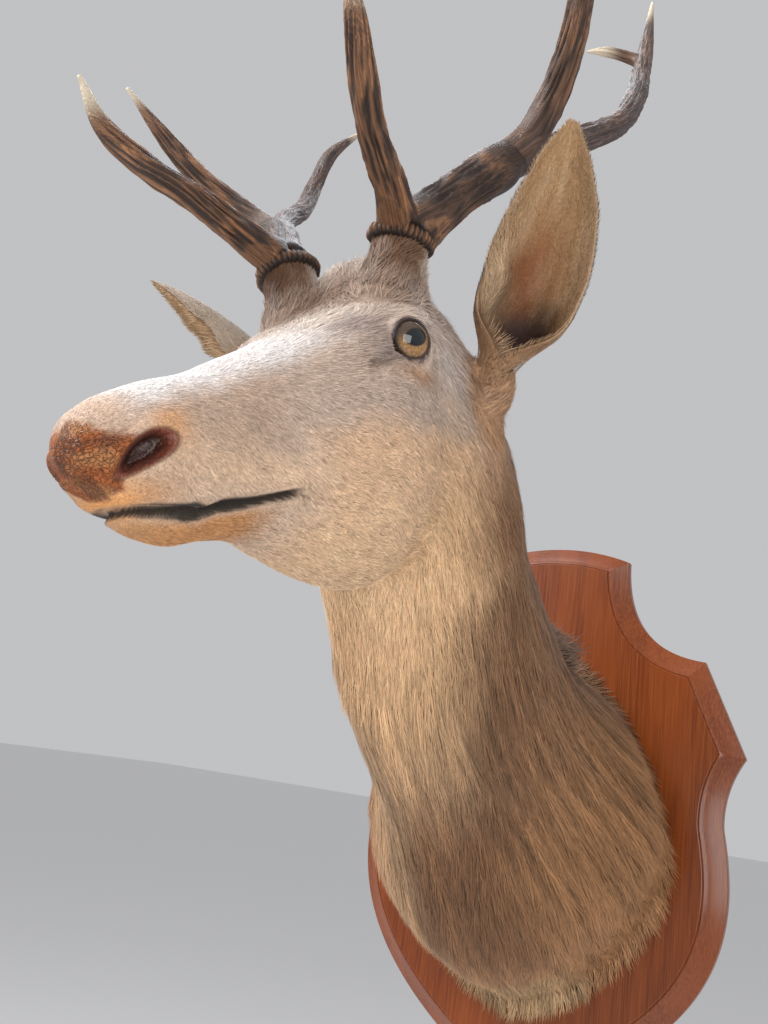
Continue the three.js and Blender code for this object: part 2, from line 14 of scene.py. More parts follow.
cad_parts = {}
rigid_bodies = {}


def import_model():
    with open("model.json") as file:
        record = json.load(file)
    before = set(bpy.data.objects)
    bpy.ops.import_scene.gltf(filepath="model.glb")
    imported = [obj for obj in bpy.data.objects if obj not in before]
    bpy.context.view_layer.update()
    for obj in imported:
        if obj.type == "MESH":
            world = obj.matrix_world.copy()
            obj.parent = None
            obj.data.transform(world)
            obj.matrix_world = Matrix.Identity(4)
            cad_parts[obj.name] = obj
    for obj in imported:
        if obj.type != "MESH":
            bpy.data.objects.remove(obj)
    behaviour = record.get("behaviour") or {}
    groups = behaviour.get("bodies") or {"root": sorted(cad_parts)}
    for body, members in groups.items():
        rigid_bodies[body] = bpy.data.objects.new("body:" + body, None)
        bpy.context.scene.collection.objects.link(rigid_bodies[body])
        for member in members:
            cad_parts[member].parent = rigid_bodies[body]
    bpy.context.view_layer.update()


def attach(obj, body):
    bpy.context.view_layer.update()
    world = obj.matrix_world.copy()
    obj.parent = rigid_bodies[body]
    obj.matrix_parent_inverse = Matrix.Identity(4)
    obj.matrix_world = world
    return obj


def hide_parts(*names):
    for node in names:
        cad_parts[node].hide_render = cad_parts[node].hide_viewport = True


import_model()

# %% [markdown]
# ## The head's own frame
#
# A head is easiest to describe from between its eyes: forward to the nose, left, and up. The mount
# looks down and a little to its left, with a slight tilt, so three angles turn those directions into
# the frame's. Head places are given in millimetres before a life-size factor.

# %% Head frame
MM = 0.001
HEAD_SCALE = 1.02
EYE_MIDPOINT = np.array([0.019, -0.535, 0.278])
HEAD_YAW, HEAD_PITCH, HEAD_ROLL = np.radians([-6.0, 17.5, 7.6])


def unit(vectors):
    """Each vector divided by its length."""
    return vectors / np.maximum(np.linalg.norm(vectors, axis=-1, keepdims=True), 1e-12)


def head_axes():
    """Rows forward, left and up: forward from yaw and pitch, then the level pair rolled round it."""
    forward = np.array([
        -np.sin(HEAD_YAW) * np.cos(HEAD_PITCH),
        -np.cos(HEAD_YAW) * np.cos(HEAD_PITCH),
        -np.sin(HEAD_PITCH),
    ])
    level_left = np.array([np.cos(HEAD_YAW), -np.sin(HEAD_YAW), 0.0])
    level_up = np.cross(forward, level_left)
    left = level_left * np.cos(HEAD_ROLL) + level_up * np.sin(HEAD_ROLL)
    up = level_up * np.cos(HEAD_ROLL) - level_left * np.sin(HEAD_ROLL)
    return np.stack([forward, left, up])


HEAD = head_axes()


def head_direction(vectors):
    """Directions given as forward, left and up, turned into the frame's."""
    return np.asarray(vectors, float) @ HEAD


def head_point(places):
    """Places given in head millimetres, in the frame's metres."""
    return EYE_MIDPOINT + head_direction(places) * (MM * HEAD_SCALE)


def in_head(points):
    """The reverse of head_point: forward, left and up in head millimetres."""
    return (points - EYE_MIDPOINT) @ HEAD.T / (MM * HEAD_SCALE)


def mirrored(places, side):
    """Head places on the left (side 1) or on the right (side -1)."""
    return np.array(places, float) * [1, side, 1]


def side_point(place, side):
    """A head place on one side, in the frame's metres."""
    return head_point(mirrored(place, side))


def side_direction(direction, side):
    """A head direction on one side, in the frame's, with length 1."""
    return unit(head_direction(mirrored(direction, side)))


print("head looks along", HEAD[0].round(3))

# %% [markdown]
# ## Small tools
#
# Every surface here is whole numpy arrays: a function of two parameters, or a profile carried along
# a path. A few helpers turn them into closed meshes, ease values, and make soft random fields from
# a seeded lattice, so that each run gives the same stag.

# %% Easing and random fields
rng = np.random.default_rng(11)


def smooth(x):
    """The cubic 3x2 - 2x3, which leaves 0 and reaches 1 without a slope."""
    return x * x * (3 - 2 * x)


def ease(low, high, values):
    """0 below low, 1 above high, and smooth between."""
    return smooth(np.clip((values - low) / (high - low), 0.0, 1.0))


def bell(values, centre, spread):
    """A bell curve of height 1: e to the minus square of the distance in spreads."""
    return np.exp(-((values - centre) / spread) ** 2)


def plateau(points, place, reach):
    """1 near a place, falling at its reach: e to the minus fourth power of distance over reach."""
    return np.exp(-((np.linalg.norm(points - place, axis=1) / reach) ** 4))


def hermite(first, last, slope1, slope2, s):
    """Cubic from first to last over s from 0 to 1, with a slope at each end."""
    blend = 3 * s**2 - 2 * s**3
    return (1 - blend) * first + blend * last + (s**3 - 2 * s**2 + s) * slope1 + (s**3 - s**2) * slope2


def between(at, x, y):
    """Mean of four neighbours, at(0 or 1, 0 or 1), weighted by the nearness x and y."""
    lower = at(0, 0) * (1 - x) + at(1, 0) * x
    upper = at(0, 1) * (1 - x) + at(1, 1) * x
    return lower * (1 - y) + upper * y


def smooth_rows(rows, t):
    """Catmull-Rom values of a table of rows at positions t: a cubic through each row in turn."""
    last = len(rows) - 1
    i = np.clip(np.floor(t).astype(int), 0, last - 1)
    s = (t - i)[..., None]
    p1, p2 = rows[i], rows[i + 1]
    p0 = np.where((i > 0)[..., None], rows[np.maximum(i - 1, 0)], 2 * p1 - p2)
    p3 = np.where((i + 2 <= last)[..., None], rows[np.minimum(i + 2, last)], 2 * p2 - p1)
    return hermite(p1, p2, (p2 - p0) / 2, (p3 - p1) / 2, s)


class Field:
    """Soft noise from -1 to 1 over two numbers: a lattice of random values, eased between."""

    def __init__(self, seed, size=64):
        self.values = np.random.default_rng(seed).uniform(-1, 1, (size, size))
        self.size = size

    def __call__(self, u, v):
        u, v = np.broadcast_arrays(np.asarray(u, float), np.asarray(v, float))
        i, j = np.floor(u).astype(int), np.floor(v).astype(int)
        at = lambda a, b: self.values[(i + a) % self.size, (j + b) % self.size]
        return between(at, smooth(u - i), smooth(v - j))


# %% Meshes from arrays
def signed_volume(points, faces):
    """Six times the volume inside a triangle mesh, positive when its faces point outwards."""
    a, b, c = (points[faces[:, k]] for k in range(3))
    return float(np.einsum("ij,ij->", a, np.cross(b, c)))


def make_object(name, points, faces, colours=None, uvs=None):
    """Puts points (n, 3) and triangles (m, 3) into an object at the origin, with its colour
    attribute per point and its OFBake map per point."""
    if signed_volume(points, faces) < 0:
        faces = faces[:, ::-1]
    mesh = bpy.data.meshes.new(name)
    mesh.vertices.add(len(points))
    mesh.vertices.foreach_set("co", points.astype(np.float32).ravel())
    mesh.loops.add(faces.size)
    mesh.loops.foreach_set("vertex_index", faces.astype(np.int32).ravel())
    mesh.polygons.add(len(faces))
    mesh.polygons.foreach_set("loop_start", np.arange(0, faces.size, 3, dtype=np.int32))
    mesh.update(calc_edges=True)
    mesh.shade_smooth()
    if colours is not None:
        paint(mesh, colours)
    if uvs is not None:
        layer = mesh.uv_layers.new(name="OFBake")
        layer.data.foreach_set("uv", uvs[faces.ravel()].astype(np.float32).ravel())
    piece = bpy.data.objects.new(name, mesh)
    bpy.context.scene.collection.objects.link(piece)
    return piece


def paint(mesh, colours, name="Marking"):
    """Stores one colour per point as an attribute."""
    layer = mesh.color_attributes.new(name=name, type="FLOAT_COLOR", domain="POINT")
    rgba = np.ones((len(colours), 4), np.float32)
    rgba[:, :3] = np.clip(colours, 0, 1)
    layer.data.foreach_set("color", rgba.ravel())


def enrol(piece, slot, *nodes):
    """Rides a piece on the one body and hides the nodes it stands for; its slot is not used."""
    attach(piece, "root")
    if nodes:
        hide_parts(*nodes)


def read_points(mesh):
    """The points of a mesh as an array (n, 3)."""
    flat = np.empty(len(mesh.vertices) * 3, np.float32)
    mesh.vertices.foreach_get("co", flat)
    return flat.reshape(-1, 3).astype(float)


def tube_faces(rings, sides):
    """Triangles of a closed tube of rings of points, each end closed by a fan to a last point."""
    r, k = np.meshgrid(np.arange(rings - 1), np.arange(sides), indexing="ij")
    a = (r * sides + k).ravel()
    b = (r * sides + (k + 1) % sides).ravel()
    wall = np.concatenate([np.stack([a, b, a + sides], 1), np.stack([b, b + sides, a + sides], 1)])
    k = np.arange(sides)
    first, last = rings * sides, rings * sides + 1
    start = np.stack([np.full(sides, first), (k + 1) % sides, k], 1)
    end = (rings - 1) * sides
    stop = np.stack([np.full(sides, last), end + k, end + (k + 1) % sides], 1)
    return np.concatenate([wall, start, stop])


def closed_tube(rings):
    """Points and triangles of a tube from an array of rings (n, m, 3), with a point at each end."""
    count, sides = rings.shape[:2]
    ends = np.stack([rings[0].mean(0), rings[-1].mean(0)])
    return np.concatenate([rings.reshape(-1, 3), ends]), tube_faces(count, sides)


def fuse(name, shells):
    """One closed surface round several overlapping closed shells, by a boolean union."""
    pieces = [make_object(f"{name}_{i}", *shell) for i, shell in enumerate(shells)]
    whole = pieces[0]
    for other in pieces[1:]:
        union = whole.modifiers.new("union", "BOOLEAN")
        union.operation = "UNION"
        union.solver = "MANIFOLD"
        union.object = other
    graph = bpy.context.evaluated_depsgraph_get()
    mesh = bpy.data.meshes.new_from_object(whole.evaluated_get(graph))
    points = read_points(mesh)
    mesh.calc_loop_triangles()
    faces = np.empty(len(mesh.loop_triangles) * 3, np.int32)
    mesh.loop_triangles.foreach_get("vertices", faces)
    for piece in pieces:
        bpy.data.objects.remove(piece)
    return points, faces.reshape(-1, 3)


def relax(points, faces, weight, rounds):
    """Moves each point towards the mean of its neighbours, by its own weight, some rounds over."""
    edges = np.concatenate([faces[:, [0, 1]], faces[:, [1, 2]], faces[:, [2, 0]]])
    count = np.bincount(edges[:, 0], minlength=len(points))[:, None]
    for _ in range(rounds):
        sums = [np.bincount(edges[:, 0], points[edges[:, 1], axis], len(points)) for axis in range(3)]
        total = np.stack(sums, 1)
        points = points + (total / np.maximum(count, 1) - points) * weight[:, None]
    return points


# %% [markdown]
# ## The flesh: sections carried from the nose to the board
#
# A taxidermist's form is one smooth body. We describe it by cross sections: where the top and the
# bottom of each lie, how wide it is, how high its widest belt sits and how square its halves are.
# A smooth curve through the sections gives the body at any place between, and bells added on the
# sides raise the brow, the cheek bone and the jaw muscle and sink the hollows.

# %% Sections
HEAD_SECTIONS = np.array([
    [251, -69, 250, -83, 8, 0.50, 2.0, 2.0],
    [245, -56, 240, -93, 18, 0.50, 2.0, 1.8],
    [235, -49, 226, -104, 28, 0.50, 2.0, 1.8],
    [220, -41, 210, -113, 37, 0.50, 2.1, 1.8],
    [196, -32, 186, -123, 42, 0.50, 2.1, 1.8],
    [160, -22, 152, -121, 42, 0.52, 2.1, 2.1],
    [125, -8, 118, -123, 45, 0.54, 2.1, 2.0],
    [88, 7, 84, -135, 55, 0.60, 2.1, 2.0],
    [48, 24, 48, -148, 70, 0.72, 2.1, 2.0],
    [10, 41, 14, -157, 80, 0.80, 2.3, 2.0],
    [-32, 66, -12, -160, 81, 0.72, 2.2, 2.1],
    [-76, 102, -34, -158, 80, 0.62, 1.9, 2.1],
])
BOARD_FRONT = 22.3
NECK_SECTIONS = np.array([
    [366, 379, 442, 147, 91, 0.52, 2.1, 2.1, 1.0, 8],
    [282, 333, 403, 95, 94, 0.50, 2.1, 2.0, 0.7, 5],
    [215, 260, 363, 37, 95, 0.50, 2.0, 1.9, 0.35, 2],
    [107, 184, 260, -50, 107, 0.48, 1.9, 1.9, 0.1, 0],
    [53, 158, 149, -164, 158, 0.46, 1.8, 1.7, 0, 0],
    [BOARD_FRONT, 163, BOARD_FRONT, -214, 162, 0.44, 1.7, 1.6, 0, 0],
])
HEAD_END = len(HEAD_SECTIONS)
BODY_END = HEAD_END + len(NECK_SECTIONS) - 1


def flesh_sections():
    """Rows of top, bottom, side, half width, belt, upper and lower squareness, from nose to board."""
    head, neck = HEAD_SECTIONS, NECK_SECTIONS
    zero = np.zeros(HEAD_END)
    head_top = head_point(np.stack([head[:, 0], zero, head[:, 1]], 1))
    head_bottom = head_point(np.stack([head[:, 2], zero, head[:, 3]], 1))
    turn = neck[:, 8:9]
    neck_side = unit((1 - turn) * np.array([1.0, 0, 0]) + turn * HEAD[1])
    tilt = neck_side[:, 2] * (neck[:, 1] - neck[:, 3]) / 2
    neck_top = np.stack([neck[:, 9] - tilt, -neck[:, 0], neck[:, 1]], 1) * MM
    neck_bottom = np.stack([neck[:, 9] + tilt, -neck[:, 2], neck[:, 3]], 1) * MM
    width = np.concatenate([head[:, 4] * HEAD_SCALE, neck[:, 4]]) * MM
    return np.column_stack([
        np.concatenate([head_top, neck_top]),
        np.concatenate([head_bottom, neck_bottom]),
        np.concatenate([np.tile(HEAD[1], (HEAD_END, 1)), neck_side]),
        width,
        np.concatenate([head[:, 5:8], neck[:, 5:8]]),
    ])


SECTIONS = flesh_sections()
print("sections:", SECTIONS.shape)

# %% Relief and flesh
# Place forward and up, spreads forward and up, height.
HEAD_RELIEF = np.array([
    [-4, 32, 26, 11, 7],     # brow ridge
    [-24, 6, 12, 20, 4],     # orbit behind
    [6, -20, 26, 9, 3],      # orbit below
    [40, -11, 9, 9, -4],     # tear pit
    [60, -44, 46, 15, 4],    # cheek bone
    [-18, -92, 38, 38, 4],   # jaw muscle
    [112, -62, 34, 17, -4],  # cheek hollow
    [-52, 32, 18, 16, -4],   # temple hollow
    [226, -80, 14, 14, 4],   # nostril wing
    [6, 8, 14, 13, -10],     # eye hollow
])
RELIEF_REACH = 1.4


def relief(f, u):
    """Sum of the bells: height times e to the minus (squared spreads) over the reach."""
    df = (f[..., None] - HEAD_RELIEF[:, 0]) / HEAD_RELIEF[:, 2]
    du = (u[..., None] - HEAD_RELIEF[:, 1]) / HEAD_RELIEF[:, 3]
    return (HEAD_RELIEF[:, 4] * np.exp(-(df**2 + du**2) / RELIEF_REACH)).sum(-1) * MM


def flesh(t, angle):
    """Point of the flesh at section position t and at an angle that is 0 on the left side and a
    quarter turn at the top: the sine and cosine, raised to the section's power, times its reach."""
    t, angle = np.broadcast_arrays(t, angle)
    row = smooth_rows(SECTIONS, t)
    top, bottom, side = row[..., 0:3], row[..., 3:6], unit(row[..., 6:9])
    width, belt = row[..., 9:10], row[..., 10:11]
    rise, across = np.sin(angle)[..., None], np.cos(angle)[..., None]
    power = 2 / np.where(rise > 0, row[..., 11:12], row[..., 12:13])
    middle = bottom + (top - bottom) * belt
    reach = np.where(rise > 0, top - middle, bottom - middle)
    points = middle + reach * np.abs(rise) ** power
    points = points + side * (np.sign(across) * np.abs(across) ** power * width)
    f, _, u = np.moveaxis(in_head(points), -1, 0)
    swell = (relief(f, u) * np.clip(HEAD_END - t, 0, 1))[..., None]
    return points + side * np.sign(across) * np.sqrt(np.abs(across)) * swell


def flesh_frame(t, angle):
    """Point, direction towards the board and outward normal, from small differences."""
    step = 0.01
    t, angle = np.broadcast_arrays(t, angle)
    along = unit(flesh(np.minimum(t + step, BODY_END), angle) - flesh(np.maximum(t - step, 0), angle))
    around = flesh(t, angle + step) - flesh(t, angle - step)
    return flesh(t, angle), along, unit(np.cross(along, around))


COAT_STOPS = [0, 2.2, 3.5, 8, 10, 11.5, 12.5, 14, 16, BODY_END]
COAT_DEPTHS = np.array([0.2, 0.5, 1.6, 2.2, 2.6, 4.0, 5.5, 7.5, 9.5, 10.0]) * MM


def coat_depth(t):
    """Depth of the coat over the skin: almost none on the nose, a centimetre at the breast."""
    return np.interp(t, COAT_STOPS, COAT_DEPTHS)


# %% [markdown]
# ## Lids, nostrils and mouth
#
# These folds are what makes a face. Instead of cutting holes, we move the skin's own points: near
# each feature a point gets polar coordinates on the feature's plane, rings of points are drawn
# together at the rim so that it is crisp, and its height follows a profile. The lids wrap a slightly
# larger ball than the eye, roll over at their edge and pass behind the glass. The nostril is a sunk
# drop-shaped pit with a raised wing, and the mouth is a groove along its line.

# %% Eye frames and lids
EYE_CENTRE = [-2, 69, 8]
EYE_LOOK = [0.5, 0.86, 0.02]
EYE_RADIUS = 18 * MM
LID_THICK = 1.7 * MM
LID_OPENING = 14.0 * MM
LID_REACH = 46 * MM          # beyond this distance from the look's axis nothing moves
LID_FULL = 30 * MM           # within this one points lie on the lid's profile
RIM_PULL, RIM_SPREAD = 0.68, 7 * MM
CONE_START, CONE_SLOPE = 0.9, 1.7
RIM_DIP = 3.0 * MM
SOCKET_LEAST, SOCKET_DEPTH = 7 * MM, 5.5 * MM
TEAR_CORNER = np.radians(-24)


def eye_frame(side):
    """Centre, look, ahead and above of one eye: ahead and above span the plane of its opening."""
    centre, look = side_point(EYE_CENTRE, side), side_direction(EYE_LOOK, side)
    ahead = unit(HEAD[0] - look * (HEAD[0] @ look))
    above = np.cross(ahead, look) * side
    return centre, look, ahead, above


def lid_rim(phi):
    """Radius of the opening by angle: a circle, drawn out at the tear corner and a little behind."""
    off = lambda angle: np.angle(np.exp(1j * (phi - angle)))
    corner = 2.6 * np.exp(-(off(TEAR_CORNER) / 0.36) ** 2)
    back = 0.7 * np.exp(-(off(TEAR_CORNER + np.pi) / 0.5) ** 2)
    flat = 0.25 * np.cos(2 * (phi - TEAR_CORNER))
    return LID_OPENING + (corner + back + flat) * MM


def smooth_max(a, b, soft):
    """The larger of two heights, rounded where they cross."""
    return np.maximum(a, b) + soft * np.exp(-np.abs(a - b) / soft) * 0.3


def eye_polar(points, side):
    """Height along the look, radius and angle of points about one eye."""
    centre, look, ahead, above = eye_frame(side)
    q = points - centre
    x, y = q @ ahead, q @ above
    return q @ look, np.hypot(x, y), np.arctan2(y, x)


def set_lids(points, side):
    """Points near an eye moved onto the lid profile: ball minus a dip, rolled edge, lid, brow. The
    lid is a ball that carries on as a cone past nine tenths of its radius."""
    centre, look, ahead, above = eye_frame(side)
    height, radius, phi = eye_polar(points, side)
    near = ease(LID_REACH, LID_FULL, radius) * (height > -0.012)
    rim = lid_rim(phi)
    drawn = radius - RIM_PULL * (radius - rim) * bell(radius - rim, 0, RIM_SPREAD)
    ball = np.sqrt(np.maximum(EYE_RADIUS**2 - drawn**2, 0))
    outer = EYE_RADIUS + LID_THICK
    bent = np.minimum(drawn, CONE_START * outer)
    shell = np.sqrt(outer**2 - bent**2) - CONE_SLOPE * (drawn - bent)
    edge_ball = np.sqrt(np.maximum(EYE_RADIUS**2 - rim**2, 0))
    floor = np.maximum(edge_ball, SOCKET_LEAST) - SOCKET_DEPTH
    inside = np.maximum(ball - RIM_DIP * ease(0, 0.0025, rim - drawn), floor)
    roll = np.clip((rim + LID_THICK - drawn) / LID_THICK, 0, 1)
    sunk = np.maximum(ball, floor)
    rolled = sunk + (shell - sunk) * np.sqrt(1 - roll**2)
    outside = smooth_max(shell, height, 0.002)
    lid = np.where(drawn < rim, inside, np.where(drawn < rim + LID_THICK, rolled, outside))
    target = centre + look * lid[..., None]
    target = target + (ahead * np.cos(phi)[..., None] + above * np.sin(phi)[..., None]) * drawn[..., None]
    return points + (target - points) * near[..., None]


# %% Nostrils
NOSTRIL_CENTRE = [229, 30, -79]
NOSTRIL_SLANT = [-0.62, 0.56, 0.55]
NOSTRIL_LENGTH = 17.8 * MM
NOSTRIL_WIDTH = 7.2 * MM
NOSTRIL_DEPTH = 11 * MM
NOSTRIL_WING = 1.6 * MM
NOSTRIL_REACH = 22 * MM


def nostril_frame(side):
    """Centre on the flesh, outward normal, long axis (back and up) and short axis of a nostril."""
    t, angle = np.meshgrid(np.linspace(0.3, 4, 75), np.linspace(-1, 1, 80), indexing="ij")
    angle = angle if side > 0 else np.pi - angle
    points, _, normals = flesh_frame(t, angle)
    aim = side_point(NOSTRIL_CENTRE, side)
    nearest = np.unravel_index(np.argmin(np.linalg.norm(points - aim, axis=-1)), t.shape)
    normal = normals[nearest]
    slant = head_direction(mirrored(NOSTRIL_SLANT, side))
    slant = unit(slant - normal * (slant @ normal))
    return points[nearest], normal, slant, np.cross(normal, slant) * side


NOSTRIL_FRAMES = {side: nostril_frame(side) for side in (1, -1)}


def nostril_place(points, side):
    """Drop-shaped radius about a nostril (1 on its rim), with its long and short places."""
    centre, normal, slant, short = NOSTRIL_FRAMES[side]
    q = points - centre
    x, y = q @ slant / NOSTRIL_LENGTH, q @ short / NOSTRIL_WIDTH
    y = (y + 0.35 * x**2 - 0.1) / (1 + 0.3 * np.clip(x, -1, 1))
    far = np.abs(q @ normal) > NOSTRIL_REACH
    return np.where(far, 9.0, np.hypot(x, y)), x, y


def sink_nostril(points, side):
    """Points near a nostril pushed in inside its rim, and raised to a wing round its upper edge."""
    normal = NOSTRIL_FRAMES[side][1]
    ring, _, y = nostril_place(points, side)
    depth = NOSTRIL_DEPTH * ease(1.06, 0.45, ring)
    wing = NOSTRIL_WING * bell(ring, 1.28, 0.3) * (0.55 + 0.45 * np.clip(y, -1, 1))
    return points + normal * (wing - depth)[..., None]


# %% Mouth
MOUTH_LINE = np.array([[99, -95], [125, -98.5], [151, -102], [175, -104], [187, -107.5], [200, -106.5],
                       [226, -104.5], [242, -103]])
MOUTH_GAPE = 2.0
MOUTH_DEPTH = 4.5 * MM
LIP_SWELL = 1.2 * MM
CHIN_SWELL = 4.5 * MM
TROUGH_DEPTH = 2.6 * MM


def mouth_gap(points):
    """Height above the mouth's line in head millimetres, and how much mouth there is at a place."""
    f, _, u = np.moveaxis(in_head(points), -1, 0)
    line = np.interp(f, MOUTH_LINE[:, 0], MOUTH_LINE[:, 1])
    return u - line, ease(MOUTH_LINE[0, 0] - 4, MOUTH_LINE[0, 0] + 12, f)


def open_mouth(points, normals):
    """Points near the mouth's line pushed in along a bell, with a soft lip above and below it."""
    gap, share = mouth_gap(points)
    groove = MOUTH_DEPTH * np.exp(-((gap / MOUTH_GAPE) ** 4))
    lips = LIP_SWELL * (bell(gap, 6.5, 3.5) + 0.7 * bell(gap, -6.5, 4.0))
    share = share * ease(232, 224, in_head(points)[..., 0])
    return points + normals * ((lips - groove) * share)[..., None]


def push_chin(points):
    """The lower lip's front drawn forward by a bell, below the mouth's line."""
    f, _, u = np.moveaxis(in_head(points), -1, 0)
    return points + HEAD[0] * (CHIN_SWELL * bell(f, 214, 16) * ease(-104, -109, u))[..., None]


def tear_trough(points, normals):
    """A shallow groove from the eye's corner down to the tear pit, on both sides."""
    f, _, u = np.moveaxis(in_head(points), -1, 0)
    from_corner = np.clip((f - 20) / 24, 0, 1)
    off = u - (-1 - 12 * from_corner)
    dip = bell(off, 0, 3.2) * ease(16, 24, f) * ease(50, 42, f)
    return points - normals * (TROUGH_DEPTH * dip)[..., None]


def with_features(points, normals):
    """The skin with its mouth, nostrils and lids."""
    points = push_chin(open_mouth(tear_trough(points, normals), normals))
    for side in (1, -1):
        points = sink_nostril(points, side)
        points = set_lids(points, side)
    return points


def skin(t, angle):
    """Point, direction along the coat and normal of the skin: the flesh less the coat's depth."""
    points, along, normals = flesh_frame(t, angle)
    points = points - normals * coat_depth(t)[..., None]
    return with_features(points, normals), along, normals


# %% [markdown]
# ## One body surface
#
# The rings lie close together on the face, where folds are small, and further apart on the neck.
# Their places come from the length along the body divided by the step wanted there.

# %% Body shell
BODY_SIDES = 268
RING_STOPS = [0, 3, 8, 10.5, 12, BODY_END]
RING_STEPS = np.array([1.0, 1.5, 1.6, 2.0, 6.0, 9.0]) * MM


def ring_places():
    """Section positions whose spacing follows RING_STEPS: equal parts of length over step."""
    t = np.linspace(0, BODY_END, 2400)
    row = smooth_rows(SECTIONS, t)
    middle = (row[:, 0:3] + row[:, 3:6]) / 2
    stride = np.linalg.norm(np.diff(middle, axis=0), axis=1)
    cost = np.concatenate([[0], np.cumsum(stride / np.interp(t[1:], RING_STOPS, RING_STEPS))])
    return np.interp(np.linspace(0, cost[-1], int(cost[-1])), cost, t)


def body_shell():
    """Rings of skin points from the nose to the board."""
    t = ring_places()[:, None]
    angle = (np.arange(BODY_SIDES) + 0.5)[None] / BODY_SIDES * 2 * np.pi - np.pi / 2
    return closed_tube(skin(t, angle)[0])


body = body_shell()
print("body:", len(body[0]), "points")

# %% [markdown]
# ## Pedicles, ear roots and ears
#
# Each antler grows from a furred stalk of bone, and each ear from a mound on the skull. Both are
# limbs: circles carried along a smooth line. An ear is a cupped leaf whose cross section is a
# crescent, nearly closed like a tube at its root, open at a third of its length and pointed at its
# tip. All of these overlap the body and are fused with it, so that one skin covers everything.

# %% Lines and limbs
def curve_points(places, t):
    """Centripetal Catmull-Rom through places: slopes weigh each gap by the root of its length."""
    places = np.asarray(places, float)
    last = len(places) - 1
    padded = np.vstack([2 * places[0] - places[1], places, 2 * places[-1] - places[-2]])
    x = np.clip(t, 0, 1) * last
    i = np.clip(np.floor(x).astype(int), 0, last - 1)
    s = (x - i)[:, None]
    x0, x1, x2, x3 = padded[i], padded[i + 1], padded[i + 2], padded[i + 3]
    gaps = (x1 - x0, x2 - x1, x3 - x2)
    d0, d1, d2 = (np.sqrt(np.linalg.norm(gap, axis=1))[:, None] for gap in gaps)
    slope1 = ((x1 - x0) / d0 - (x2 - x0) / (d0 + d1) + (x2 - x1) / d1) * d1
    slope2 = ((x2 - x1) / d1 - (x3 - x1) / (d1 + d2) + (x3 - x2) / d2) * d1
    return hermite(x1, x2, slope1, slope2, s)


def limb_line(places, radii, step):
    """Even steps along a line in head millimetres: points, tangents and radii in metres, lengths."""
    world = head_point(places)
    fine = np.linspace(0, 1, 600)
    path = curve_points(world, fine)
    length = np.concatenate([[0], np.cumsum(np.linalg.norm(np.diff(path, axis=0), axis=1))])
    count = max(3, int(round(length[-1] / step)) + 1)
    t = np.interp(np.linspace(0, length[-1], count), length, fine)
    points = curve_points(world, t)
    radius = smooth_rows(np.array(radii, float)[:, None], t * (len(radii) - 1))[:, 0] * MM * HEAD_SCALE
    return points, unit(np.gradient(points, axis=0)), radius, np.interp(t, fine, length)


def limb_rings(points, tangents, radius, sides, hint):
    """Circles round a line: each radius, which may vary by angle, turned about the line from a
    direction square to it that stays near the hint."""
    start = unit(hint - tangents * (tangents @ hint)[:, None])
    turn = np.cross(tangents, start)
    angle = np.arange(sides) / sides * 2 * np.pi
    reach = radius[..., None] if radius.ndim == 2 else radius[:, None, None]
    outward = np.cos(angle)[None, :, None] * start[:, None] + np.sin(angle)[None, :, None] * turn[:, None]
    return points[:, None] + outward * reach


PEDICLE_FOOT = [-46, 36, 40]
PEDICLE_RADII = [40, 26, 21.5]
BURR_CENTRE = [-59, 52, 103]
BURR_AXIS = [-0.22, 0.3, 0.93]
BURR_RADIUS, BURR_HEIGHT, BURR_ROUNDING = 27 * MM, 13 * MM, 6 * MM
EAR_ROOT_LINE = np.array([[4, -45, -27], [-2, -2, -4], [0, 12, 10]], float)
EAR_ROOT_RADII = [43, 24, 15]
LIMB_STEP, LIMB_SIDES = 2.4 * MM, 64
PEDICLE_COAT, EAR_ROOT_COAT = 2.2 * MM, 2.0 * MM
EARS = {
    1: {"root": [-126, 84, -6], "tip": [-106, 184, 173], "opening": [0.92, 0.24, -0.31]},
    -1: {"root": [-126, -84, 2], "tip": [-96, -222, 149], "opening": [0.5, -0.8, -0.3]},
}


def pedicle_rings(side):
    """The stalk from inside the skull to just inside the burr, less the coat's depth."""
    foot, top = mirrored(PEDICLE_FOOT, side), mirrored(BURR_CENTRE, side)
    line = np.array([foot, 0.45 * foot + 0.55 * top, top])
    points, tangents, radius, _ = limb_line(line, PEDICLE_RADII, LIMB_STEP)
    return limb_rings(points[:-1], tangents[:-1], radius[:-1] - PEDICLE_COAT, LIMB_SIDES, HEAD[0])


def ear_root_rings(side):
    """The mound under an ear, less the coat's depth."""
    line = np.array(EARS[side]["root"], float) + mirrored(EAR_ROOT_LINE, side)
    points, tangents, radius, _ = limb_line(line, EAR_ROOT_RADII, LIMB_STEP)
    return limb_rings(points, tangents, radius - EAR_ROOT_COAT, LIMB_SIDES, HEAD[0])


# %% Ears
EAR_HALF_WIDTHS = np.array([13, 21, 36, 41, 41.5, 38, 31, 21, 5], float)[:, None]
EAR_WRAPS = np.radians([178, 168, 112, 84, 76, 70, 64, 58, 50])[:, None]
EAR_BOW = 10 * MM
EAR_SEAT = 0.75
EAR_COAT = 1.0 * MM
EAR_WALL = 3.4 * MM
EAR_FOLD = 8.0 * MM
EAR_ROWS, EAR_ARC = 96, 34


def ear_frame(side):
    """Root, tip, axis, opening direction and the direction across of an ear."""
    root, tip = head_point(EARS[side]["root"]), head_point(EARS[side]["tip"])
    axis = unit(tip - root)
    facing = head_direction(EARS[side]["opening"])
    facing = unit(facing - axis * (facing @ axis))
    return root, tip, axis, facing, np.cross(axis, facing)


